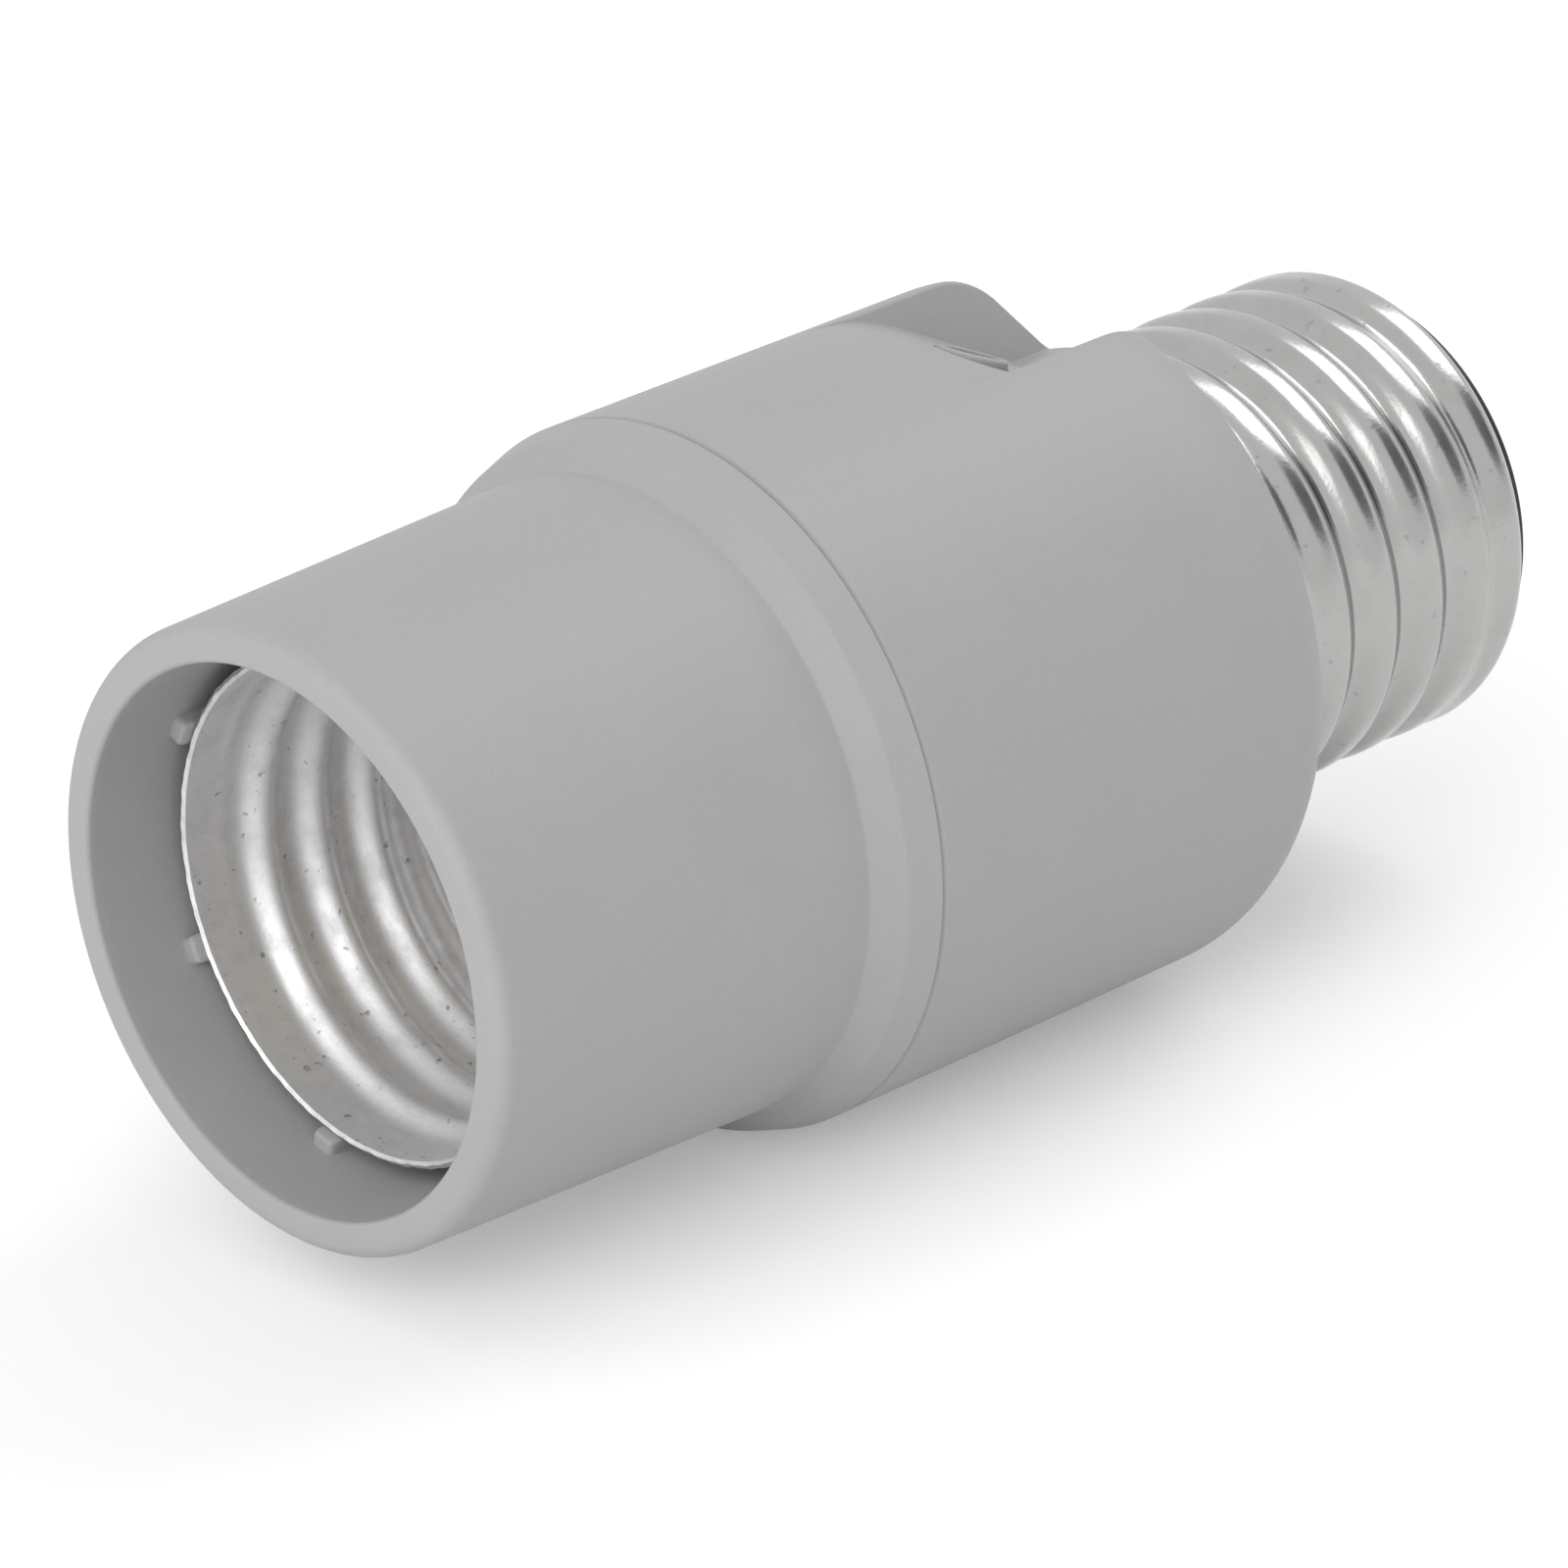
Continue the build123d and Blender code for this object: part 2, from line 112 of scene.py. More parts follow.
# Socket shell: the thread begins this far inside the plain band, swells, and runs out before the step
BAND_OVERLAP = 0.0006
SOCKET_SWELL = 0.002
SOCKET_RUN_OUT = 0.0016
STEP_ROUND = 0.0004
FLANGE_ROUND = 0.0005
BURR_SHARE = 0.2

# Sleeve: small mould roundings, and the play and bite of the grip ribs and the contact's slot
MOULD_ROUND = 0.0003
COLLAR_ROUND = 0.0005
RIB_PLAY = 0.00015
RIB_BITE = 0.0003
SLOT_SIDE_PLAY = 0.0003
SLOT_BELOW = 0.0009
SLOT_ABOVE = 0.00015

# Base tip: bore of the insulator, its seat in the shell, its face, and the eyelet
INSULATOR_BORE = 0.00165
INSULATOR_SEAT = 0.0005
INSULATOR_PLAY = 0.00015
INSULATOR_FACE = 0.0065
INSULATOR_ROUND = 0.0002
EYELET_SHANK = 0.0015
EYELET_EDGE = 0.0002
EYELET_ROUND = 0.0003

# Soft boxes: name, place, side and power in watts
LIGHTS = (
    ("right_box", (0.38, -0.03, 0.44), 0.34, 0.81),
    ("left_box", (-0.47, -0.28, 0.29), 0.40, 0.95),
    ("front_box", (-0.60, 0.05, 0.12), 0.40, 0.75),
)
FLOOR_RADIUS = 3.0
# The dark patch of the room: cosines of its soft edge, and the light that is left in its middle
DARK_EDGE = (0.94, 0.985)
DARK_LEVEL = 0.2


def length(name, description, default):
    """A length that a user may change, shown in the scene's units."""
    return FloatProperty(
        name=name, description=description, default=default, precision=5, unit="LENGTH", subtype="DISTANCE"
    )


def turn(name, description, degrees):
    """An angle that a user may change."""
    return FloatProperty(name=name, description=description, default=np.radians(degrees), subtype="ANGLE")


def colour(name, description, default):
    """A linear colour that a user may change."""
    return FloatVectorProperty(
        name=name, description=description, default=default, size=3, min=0.0, max=1.0, subtype="COLOR"
    )


class LampSocketSizes(PropertyGroup):
    """Sizes of the dressed pieces; the defaults follow the CAD frame."""

    drum_radius: length("Drum radius", "Outside of the rear drum", DRUM_HIGH.y)
    drum_wall: length("Drum wall", "Thickness of the drum's side", 0.002)
    rear_wall: length("Rear wall", "Thickness of the drum's rear end", 0.0025)
    rear_slope: turn("Rear slope", "Slope of the drum's rear cone, off the lamp axis", 53.0)
    rear_ring: length("Rear ring", "Radius where the rear cone ends, at the base", 0.0133)
    rear_round: length("Rear edge", "Rounding between the drum's side and its rear cone", 0.005)
    seam_break: length("Seam break", "Chamfer on each side of the seam", 0.0002)
    boss_radius: length("Boss radius", "Boss that carries the screw base", 0.0119)
    boss_bore: length("Boss bore", "Hollow of the boss", 0.0094)

    notch_angle: turn("Notch angle", "Width of the sensor notch about the lamp axis", 38.0)
    notch_length: length("Notch length", "From the notch's rim to the drum's rear end", 0.0145)
    notch_depth: length("Notch depth", "Deepest cut below the drum's side", 0.0055)
    notch_slope: turn("Notch slope", "Slope of the ramp that carries the bezel", 27.0)
    notch_lean: turn("Notch lean", "Roll of the ramp about the lamp axis", 4.0)
    notch_rim: length("Notch rim", "Depth of the soft bend from the drum's side into the ramp", 0.0018)
    notch_wall: length("Notch wall", "Wall under the ramp", 0.0018)
    notch_edge: length("Notch edge", "Rounding along the notch's upper edges", 0.00025)
    notch_fillet: length("Notch fillet", "Rounding along the notch's floor", 0.0001)

    bezel_radius: length("Bezel radius", "Outside of the sensor ring", 0.002)
    bezel_hole: length("Bezel hole", "Radius of the sensor's window", 0.0015)
    bezel_height: length("Bezel height", "How far the ring stands off the ramp", 0.00048)
    bezel_setback: length("Bezel setback", "From the notch's rim to the ring's middle, along X", 0.00385)
    bezel_drop: length("Bezel drop", "From the drum's side down to the ring's middle", 0.00295)
    bezel_sink: length("Bezel sink", "How far the ring's middle lies under the ramp", 0.00018)
    bezel_tilt: turn("Bezel tilt", "Lean of the ring, flatter than the ramp", 23.5)
    bezel_gap: length("Bezel gap", "Narrow gap round the ring", 0.00008)
    window_ledge: length("Window ledge", "From the ramp to the photocell's face", 0.0014)

    mouth_radius: length("Mouth radius", "Outside of the sleeve at its mouth", 0.01677)
    mouth_bore: length("Mouth bore", "Inside of the sleeve at its mouth", 0.01472)
    root_radius: length("Root radius", "Outside of the sleeve at the collar", 0.01746)
    root_bore: length("Root bore", "Inside of the sleeve at the partition", 0.0144)
    collar_radius: length("Collar radius", "Where the collar's chamfer ends", 0.01878)
    collar_rim: length("Collar rim", "From the chamfer to the seam", 0.00203)
    collar_chamfer: length("Collar chamfer", "Length of the chamfer along X", 0.00146)
    lip_round: length("Lip rounding", "Outer rounding of the mouth", 0.0009)
    partition_setback: length("Partition setback", "From the seam to the partition's rear", 0.0015)
    partition_thickness: length("Partition", "Thickness of the socket's floor", 0.0025)
    spigot_wall: length("Spigot wall", "Ring that plugs into the drum", 0.0018)
    rib_width: length("Grip rib width", "Ribs that hold the shell's lip", 0.0016)
    rib_length: length("Grip rib length", "Along the lamp axis", 0.004)
    rib_lead: length("Grip rib lead", "How far a rib stands out before the lip", 0.0004)
    rib_count: IntProperty(name="Grip ribs", description="Ribs round the bore", default=7, min=1)
    rib_start: turn("Grip rib start", "Where the first rib stands, from the notch", -62.0)

    thread_pitch: length("Thread pitch", "Advance of the screw thread in one turn", 0.003629)
    base_crest: length("Base crest", "Crest radius of the base's thread", BASE_HIGH.y)
    base_depth: length("Base thread depth", "Crest to root", 0.0008)
    base_neck: length("Base neck", "Plain radius where the base leaves the drum", 0.0129)
    base_sheet: length("Base sheet", "Thickness of the base's metal", 0.0003)
    base_curl: length("Base curl", "How far the base's end turns in", 0.0011)
    base_end_round: length("Base end", "Rounding of the base's end", 0.001)
    base_root: length("Base root", "Where a root crosses the notch's direction, along X", 0.00408)
    insulator_rim: length("Insulator rim", "How far the insulator's side stands out of the base", 0.001)

    socket_major: length("Socket major", "Largest radius of the socket's thread", 0.0133)
    socket_depth: length("Socket thread depth", "How far the thread's ridge stands in", 0.00085)
    socket_band: length("Socket band", "Plain band behind the shell's lip", 0.0026)
    socket_lip: length("Socket lip", "Chamfer inside the shell's lip", 0.00016)
    socket_foot: length("Socket foot", "Radius of the shell's foot", 0.0123)
    socket_threads: length("Socket threads", "From the lip to the foot's step", 0.0156)
    socket_step: length("Socket step", "Length of the step to the foot", 0.0007)
    socket_sheet: length("Socket sheet", "Thickness of the shell's metal", 0.00035)
    socket_flange: length("Socket flange", "Inturned edge on the partition", 0.0036)
    socket_ridge: length("Socket ridge", "Where a ridge crosses the notch's direction, along X", -0.0495)

    strip_sheet: length("Strip sheet", "Thickness of the centre contact", 0.0005)
    strip_bend: length("Strip bend", "Radius of the contact's bends", 0.001)
    strip_blade: length("Strip blade", "Length of the contact's blade", 0.0115)
    strip_tilt: turn("Strip tilt", "Lean of the blade off the partition", 20.0)
    strip_tip: length("Strip tip", "Length of the contact's turned tip", 0.0022)
    strip_tip_turn: turn("Strip tip turn", "Turn of the tip back to the partition", 40.0)
    strip_leg: length("Strip leg", "Leg of the contact below the lamp axis", 0.0065)
    strip_stand: length("Strip stand", "From the partition to the contact's first bend", 0.0012)

    rivet_radius: length("Rivet radius", "Shank of a shell rivet", 0.001)
    rivet_head: length("Rivet head", "Head's radius", 0.0017)
    rivet_height: length("Rivet height", "Head's height", 0.0006)


class LampSocketLooks(PropertyGroup):
    """Colours of the finishes, levels of the stage and the photographed view."""

    plastic: colour("Plastic", "Grey moulded plastic", (0.40, 0.395, 0.40))
    nickel: colour("Nickel", "Plating of the screw base", (0.43, 0.426, 0.42))
    socket_metal: colour("Socket metal", "Drawn aluminium of the socket's shell", (0.775, 0.775, 0.78))
    brass: colour("Brass", "Contact metal", (0.76, 0.55, 0.24))
    insulator: colour("Insulator", "Black insulator of the base", (0.012, 0.012, 0.013))
    solder: colour("Solder", "Solder dome", (0.60, 0.60, 0.61))
    photocell: colour("Photocell", "Sensor's face", (0.22, 0.13, 0.07))
    floor: colour("Floor", "White floor", (0.88, 0.88, 0.88))
    floor_glow: FloatProperty(
        name="Floor glow", description="White added where the floor is seen", default=0.25
    )
    dome: FloatProperty(name="Dome", description="Level of the soft light from all round", default=0.70)
    dark_side: FloatVectorProperty(
        name="Dark side", description="Towards the unlit side of the room",
        default=(0.67, -0.57, 0.42), size=3, subtype="XYZ",
    )

    lens: FloatProperty(name="Lens", description="Camera's focal length, mm", default=205.36, unit="CAMERA")
    azimuth: turn("Azimuth", "Camera round the object", -42.33)
    elevation: turn("Elevation", "Camera above the horizon", 22.70)
    roll: turn("Roll", "Clockwise tilt of the camera", 3.53)
    distance: length("Distance", "Camera to the point it looks at", 0.46375)
    target: FloatVectorProperty(
        name="Target", description="Point on the camera's axis",
        default=(-0.02915, -0.00371, -0.00069), size=3, unit="LENGTH", subtype="TRANSLATION",
    )


def sizes():
    """The scene's current sizes."""
    return bpy.context.scene.lamp_socket_sizes


def looks():
    """The scene's current colours and view."""
    return bpy.context.scene.lamp_socket_looks


# Shapes worked out with numpy


def unit(vector):
    """A vector cut to length one."""
    return vector / np.linalg.norm(vector)


def smooth_step(low, high, value):
    """Zero below low, one above high, and a smooth cubic between them."""
    share = np.clip((value - low) / (high - low), 0.0, 1.0)
    return share * share * (3.0 - 2.0 * share)


def divided(start, end, step):
    """Points of a straight run, evenly spaced, without its last point."""
    count = max(1, int(np.ceil(np.linalg.norm(end - start) / step)))
    return start + (end - start) * (np.arange(count) / count)[:, None]


def arc_points(before, here, after, rounding, step):
    """The arc of a rounded corner: tangent to both of its runs, with the given radius."""
    back, on = unit(before - here), unit(after - here)
    half = np.arccos(np.clip(back @ on, -1.0, 1.0)) / 2.0
    centre = here + unit(back + on) * rounding / np.sin(half)
    start = here + back * rounding / np.tan(half) - centre
    end = here + on * rounding / np.tan(half) - centre
    first, last = np.arctan2(start[1], start[0]), np.arctan2(end[1], end[0])
    sweep = (last - first + np.pi) % (2.0 * np.pi) - np.pi
    count = max(4, int(np.ceil(abs(sweep) * rounding / step)), int(np.ceil(abs(sweep) / 0.2)))
    angles = first + sweep * np.arange(count + 1) / count
    return centre + rounding * np.stack([np.cos(angles), np.sin(angles)], axis=1)


def rounded(corners, step=RUN_STEP, closed=True):
    """An outline through corners (x, r, rounding), with arcs at its corners and divided runs."""
    places = np.array([corner[:2] for corner in corners], float)
    count = len(corners)
    stretches = []
    for index, corner in enumerate(corners):
        inner = closed or 0 < index < count - 1
        if inner and corner[2] > 0.0:
            before, after = places[index - 1], places[(index + 1) % count]
            stretches.append(arc_points(before, places[index], after, corner[2], step / 3.0))
        else:
            stretches.append(places[index][None, :])
    outline = []
    for index in range(count if closed else count - 1):
        stretch, following = stretches[index], stretches[(index + 1) % count]
        outline += [stretch[:-1], divided(stretch[-1], following[0], step)]
    if not closed:
        outline.append(stretches[-1])
    return np.concatenate(outline)


def on_axis(along, radius, angle):
    """Points round the lamp axis; angles count from the notch, right-handed about X."""
    along, radius, angle = np.broadcast_arrays(along, radius, angle)
    return np.stack([along, -radius * np.sin(angle), radius * np.cos(angle)], axis=-1)


def line_normals(line):
    """Unit normals of a line of (x, r) points: its central differences, turned a quarter."""
    slope = np.gradient(line, axis=0)
    return np.stack([-slope[:, 1], slope[:, 0]], axis=1) / np.linalg.norm(slope, axis=1)[:, None]


def full_turn(count=AROUND):
    """Evenly spaced angles of one turn, without its last."""
    return np.linspace(-np.pi, np.pi, count, endpoint=False)


def lathe(outline, count=AROUND):
    """An outline of (x, r) points carried round the lamp axis."""
    return on_axis(outline[:, :1], outline[:, 1:], full_turn(count)[None, :])


def grid_faces(rows, columns, close_rows=True, close_columns=True):
    """Quads of a grid of points, row by row; a closed direction joins its last line to its first."""
    row = np.arange(rows if close_rows else rows - 1)[:, None]
    column = np.arange(columns if close_columns else columns - 1)[None, :]
    below, beside = (row + 1) % rows, (column + 1) % columns
    corners = [
        row * columns + column, row * columns + beside, below * columns + beside, below * columns + column,
    ]
    return np.stack(np.broadcast_arrays(*corners), axis=-1).reshape(-1, 4)


def outward(points, faces):
    """Faces of a closed grid, turned round if the volume they enclose comes out negative."""
    a, b, c, d = (points[faces[:, corner]] for corner in range(4))
    volume = np.einsum("ij,ij->", a, np.cross(b, c)) + np.einsum("ij,ij->", a, np.cross(c, d))
    return faces if volume > 0.0 else faces[:, ::-1]


def closed_ring(grid):
    """Points and outward faces of a grid that closes on itself both ways."""
    rows, columns = grid.shape[:2]
    points = grid.reshape(-1, 3)
    return points, outward(points, grid_faces(rows, columns))


def closed_solid(grid):
    """Points and outward faces of a grid closed round its columns, its first and last rows points."""
    rows, columns = grid.shape[:2]
    points = grid.reshape(-1, 3)
    return points, outward(points, grid_faces(rows, columns, close_rows=False))


def rounded_block(centre, half, axes, sharpness=0.3, count=20):
    """A block with soft edges: a superellipsoid with the given half sizes along three axes."""
    across = np.linspace(-np.pi, np.pi, 2 * count, endpoint=False)[None, :]
    up = np.linspace(-np.pi / 2, np.pi / 2, count)[:, None]

    def power(value):
        return np.sign(value) * np.abs(value) ** sharpness

    local = np.stack(np.broadcast_arrays(
        half[0] * power(np.cos(up)) * power(np.cos(across)),
        half[1] * power(np.cos(up)) * power(np.sin(across)),
        half[2] * power(np.sin(up)),
    ), axis=-1)
    return closed_solid(local @ np.array(axes) + np.array(centre))


def add_piece(name, shells, material, body="housing", nodes=()):
    """One mesh object of closed shells, riding on its body and standing for its CAD nodes."""
    points, faces, start = [], [], 0
    for shell_points, shell_faces in shells:
        points.append(shell_points)
        faces.append(shell_faces + start)
        start += len(shell_points)
    mesh = bpy.data.meshes.new(name)
    mesh.from_pydata(np.concatenate(points).tolist(), [], np.concatenate(faces).tolist())
    mesh.materials.append(material)
    piece = bpy.data.objects.new(name, mesh)
    bpy.context.scene.collection.objects.link(piece)
    settle(piece)
    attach(piece, body)
    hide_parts(*nodes)
    return piece


def settle(piece):
    """Merges a mesh's poles, shades it smooth and keeps its real edges sharp."""
    made = bmesh.new()
    made.from_mesh(piece.data)
    bmesh.ops.remove_doubles(made, verts=made.verts, dist=HAIR)
    bmesh.ops.dissolve_degenerate(made, edges=made.edges, dist=HAIR)
    made.to_mesh(piece.data)
    made.free()
    piece.data.shade_smooth()
    piece.data.set_sharp_from_angle(angle=SHARP_ANGLE)


def cut(piece, shell):
    """Takes a closed shell out of a piece, for a hole or a slot."""
    tool = bpy.data.objects.new("cutter", bpy.data.meshes.new("cutter"))
    points, faces = shell
    tool.data.from_pydata(points.tolist(), [], faces.tolist())
    bpy.context.scene.collection.objects.link(tool)
    step = piece.modifiers.new("cut", "BOOLEAN")
    step.operation = "DIFFERENCE"
    step.solver = "EXACT"
    step.object = tool
    graph = bpy.context.evaluated_depsgraph_get()
    result = bpy.data.meshes.new_from_object(piece.evaluated_get(graph))
    piece.modifiers.clear()
    piece.data = result
    bpy.data.objects.remove(tool)
    settle(piece)


# Finishes


def add_node(tree, kind, **inputs):
    """A shader node with some of its inputs set by name; underscores stand for spaces."""
    node = tree.nodes.new(kind)
    for name, value in inputs.items():
        node.inputs[name.replace("_", " ")].default_value = value
    return node


def new_group(name, inputs, outputs):
    """An empty shader node group with named sockets, and its input and output nodes."""
    group = bpy.data.node_groups.new(name, "ShaderNodeTree")
    for label, kind, value in inputs:
        socket = group.interface.new_socket(name=label, in_out="INPUT", socket_type=kind)
        socket.default_value = value
    for label, kind in outputs:
        group.interface.new_socket(name=label, in_out="OUTPUT", socket_type=kind)
    return group, group.nodes.new("NodeGroupInput"), group.nodes.new("NodeGroupOutput")


def math_node(tree, operation, first, second):
    """A Math node; each operand is a number or an output socket."""
    node = tree.nodes.new("ShaderNodeMath")
    node.operation = operation
    for socket, operand in zip(node.inputs, (first, second)):
        if isinstance(operand, (int, float)):
            socket.default_value = operand
        else:
            tree.links.new(operand, socket)
    return node.outputs["Value"]


def noise(tree, coordinates, scale, detail=3.0, roughness=0.6):
    """A noise texture's value on the given coordinates; scale is a number or a socket."""
    node = add_node(tree, "ShaderNodeTexNoise", Detail=detail, Roughness=roughness)
    tree.links.new(coordinates, node.inputs["Vector"])
    if isinstance(scale, (int, float)):
        node.inputs["Scale"].default_value = scale
    else:
        tree.links.new(scale, node.inputs["Scale"])
    return node.outputs["Fac"]


def ramp(tree, value, low, high):
    """A value mapped from low..high to 0..1 and clamped."""
    node = add_node(tree, "ShaderNodeMapRange", From_Min=low, From_Max=high)
    tree.links.new(value, node.inputs["Value"])
    return node.outputs["Result"]


def shade(tree, base, factor):
    """A colour multiplied by a grey value."""
    node = tree.nodes.new("ShaderNodeVectorMath")
    node.operation = "SCALE"
    tree.links.new(base, node.inputs[0])
    tree.links.new(factor, node.inputs["Scale"])
    return node.outputs["Vector"]


def moulded_grain():
    """Fine spark-eroded grain of moulded plastic, with faint mottling."""
    name = "moulded grain"
    if name in bpy.data.node_groups:
        return bpy.data.node_groups[name]
    group, given, made = new_group(
        name,
        [("Colour", "NodeSocketColor", (0.4, 0.4, 0.4, 1.0)), ("Grain", "NodeSocketFloat", 5200.0),
         ("Mottle", "NodeSocketFloat", 0.05), ("Roughness", "NodeSocketFloat", 0.5)],
        [("Colour", "NodeSocketColor"), ("Roughness", "NodeSocketFloat"), ("Height", "NodeSocketFloat")],
    )
    place = group.nodes.new("ShaderNodeTexCoord").outputs["Object"]
    grain = noise(group, place, given.outputs["Grain"], 2.0)
    flow = noise(group, place, 160.0, 4.0)
    centred = math_node(group, "SUBTRACT", math_node(group, "ADD", grain, flow), 1.0)
    tone = math_node(group, "ADD", math_node(group, "MULTIPLY", centred, given.outputs["Mottle"]), 1.0)
    group.links.new(shade(group, given.outputs["Colour"], tone), made.inputs["Colour"])
    rough = math_node(group, "MULTIPLY", math_node(group, "SUBTRACT", flow, 0.5), 0.2)
    group.links.new(math_node(group, "ADD", rough, given.outputs["Roughness"]), made.inputs["Roughness"])
    group.links.new(grain, made.inputs["Height"])
    return group


def worn_metal():
    """Drawn and rolled sheet: fine grain, small dents and dull patches."""
    name = "worn metal"
    if name in bpy.data.node_groups:
        return bpy.data.node_groups[name]
    group, given, made = new_group(
        name,
        [("Colour", "NodeSocketColor", (0.8, 0.8, 0.8, 1.0)), ("Grain", "NodeSocketFloat", 4000.0),
         ("Wear", "NodeSocketFloat", 0.2), ("Roughness", "NodeSocketFloat", 0.3)],
        [("Colour", "NodeSocketColor"), ("Roughness", "NodeSocketFloat"), ("Height", "NodeSocketFloat")],
    )
    place = group.nodes.new("ShaderNodeTexCoord").outputs["Object"]
    grain = noise(group, place, given.outputs["Grain"], 3.0)
    patches = noise(group, place, 420.0, 5.0, 0.65)
    dents = ramp(group, noise(group, place, 1500.0, 2.0), 0.66, 0.74)
    dull = math_node(group, "MULTIPLY", ramp(group, patches, 0.45, 0.7), given.outputs["Wear"])
    worn = math_node(group, "MULTIPLY", dents, given.outputs["Wear"])
    lost = math_node(group, "ADD", worn, math_node(group, "MULTIPLY", dull, 0.3))
    tone = math_node(group, "SUBTRACT", 1.0, lost)
    group.links.new(shade(group, given.outputs["Colour"], tone), made.inputs["Colour"])
    rough = math_node(group, "ADD", given.outputs["Roughness"], math_node(group, "MULTIPLY", dull, 0.35))
    group.links.new(rough, made.inputs["Roughness"])
    height = math_node(group, "SUBTRACT", grain, math_node(group, "MULTIPLY", worn, 2.0))
    group.links.new(height, made.inputs["Height"])
    return group


def finish(name, group, base, bump, distance, metallic=0.0, **values):
    """A Principled material fed by a surface group; bump is its strength, distance its depth."""
    if name in bpy.data.materials:
        return bpy.data.materials[name]
    material = bpy.data.materials.new(name)
    material.use_nodes = True
    tree = material.node_tree
    shader = tree.nodes["Principled BSDF"]
    shader.inputs["Metallic"].default_value = metallic
    surface = tree.nodes.new("ShaderNodeGroup")
    surface.node_tree = group
    surface.inputs["Colour"].default_value = (*base, 1.0)
    for label, value in values.items():
        surface.inputs[label].default_value = value
    relief = add_node(tree, "ShaderNodeBump", Strength=bump, Distance=distance)
    tree.links.new(surface.outputs["Colour"], shader.inputs["Base Color"])
    tree.links.new(surface.outputs["Roughness"], shader.inputs["Roughness"])
    tree.links.new(surface.outputs["Height"], relief.inputs["Height"])
    tree.links.new(relief.outputs["Normal"], shader.inputs["Normal"])
    material.diffuse_color = (*base, 1.0)
    return material


def grey_plastic():
    """Outer skin of both housings."""
    return finish(
        "grey plastic", moulded_grain(), looks().plastic, 0.35, 0.00006, Roughness=0.55, Mottle=0.10
    )


def nickel_plate():
    """Bright plating of the screw base."""
    return finish(
        "nickel plate", worn_metal(), looks().nickel, 0.22, 0.00004, 1.0, Roughness=0.19, Wear=0.2
    )


def drawn_aluminium():
    """Satin sheet of the socket's shell."""
    return finish(
        "drawn aluminium", worn_metal(), looks().socket_metal, 0.3, 0.00005, 0.8, Roughness=0.46, Wear=0.5
    )


def bright_brass():
    """Contact metal."""
    return finish("bright brass", worn_metal(), looks().brass, 0.12, 0.00003, 1.0, Roughness=0.24, Wear=0.2)


def soft_solder():
    """Dull solder."""
    return finish(
        "soft solder", worn_metal(), looks().solder, 0.3, 0.00008, 1.0, Roughness=0.38, Grain=1200.0
    )


def black_insulator():
    """Satin black moulding."""
    return finish("black insulator", moulded_grain(), looks().insulator, 0.1, 0.00003, Roughness=0.5)


def white_floor():
    """Matt white floor, lifted to white where the camera or a reflection sees it."""
    look = looks()
    material = bpy.data.materials.new("white floor")
    material.use_nodes = True
    tree = material.node_tree
    shader = tree.nodes["Principled BSDF"]
    shader.inputs["Base Color"].default_value = (*look.floor, 1.0)
    shader.inputs["Roughness"].default_value = 0.9
    shader.inputs["Specular IOR Level"].default_value = 0.0
    shader.inputs["Emission Strength"].default_value = look.floor_glow
    tree.links.new(seen_ray(tree), shader.inputs["Emission Color"])
    return material


def mirrored_ray(tree, path):
    """One for a ray from a reflection or through a clear body, zero for others."""
    return math_node(tree, "MAXIMUM", path.outputs["Is Glossy Ray"], path.outputs["Is Transmission Ray"])


def seen_ray(tree):
    """One for a ray from the camera, a reflection or a clear body, zero for the light that it throws."""
    path = tree.nodes.new("ShaderNodeLightPath")
    return math_node(tree, "MAXIMUM", mirrored_ray(tree, path), path.outputs["Is Camera Ray"])


# Pieces


def notched(along, radius, angle, inset):
    """The drum's radius with the sensor notch taken out.

    Inside the sector the radius is the lower of the drum and the notch's floor, with a fillet up
    its side walls. The floor is a plane that slopes down to the rear and leans about the lamp axis,
    level * cos(lean) / cos(angle - lean), bent softly into the drum's side by a smooth minimum, and
    at the rear a cylinder. Outside the sector an arc rounds the edge.
    """
    s = sizes()
    half = s.notch_angle / 2.0 + inset / (s.drum_radius - s.notch_depth)
    behind = along + s.notch_length - s.bezel_setback
    level = s.drum_radius - s.bezel_drop + s.bezel_sink - behind * np.tan(s.notch_slope)
    level = level - inset / np.cos(s.notch_slope)
    ramp_radius = level * np.cos(s.notch_lean) / np.cos(np.clip(angle - s.notch_lean, -1.0, 1.0))
    bend = np.maximum(1.0 - np.abs(ramp_radius - s.drum_radius) / s.notch_rim, 0.0)
    floor = np.minimum(ramp_radius, s.drum_radius) - s.notch_rim / 4.0 * bend**2
    floor = np.maximum(floor, s.drum_radius - s.notch_depth - inset)
    depth = np.maximum(radius - floor, 0.0)
    beyond = (np.abs(angle) - half) * s.drum_radius
    edge = np.minimum(s.notch_edge, 0.7 * depth)
    short = edge - np.clip(beyond, 0.0, edge)
    outside = radius - edge + np.sqrt(np.maximum(edge**2 - short**2, 0.0))
    fillet = np.minimum(s.notch_fillet, 0.3 * depth)
    climb = np.clip(beyond + fillet, 0.0, fillet)
    inside = np.minimum(radius, floor + fillet - np.sqrt(np.maximum(fillet**2 - climb**2, 0.0)))
    return np.where(beyond < 0.0, inside, outside)


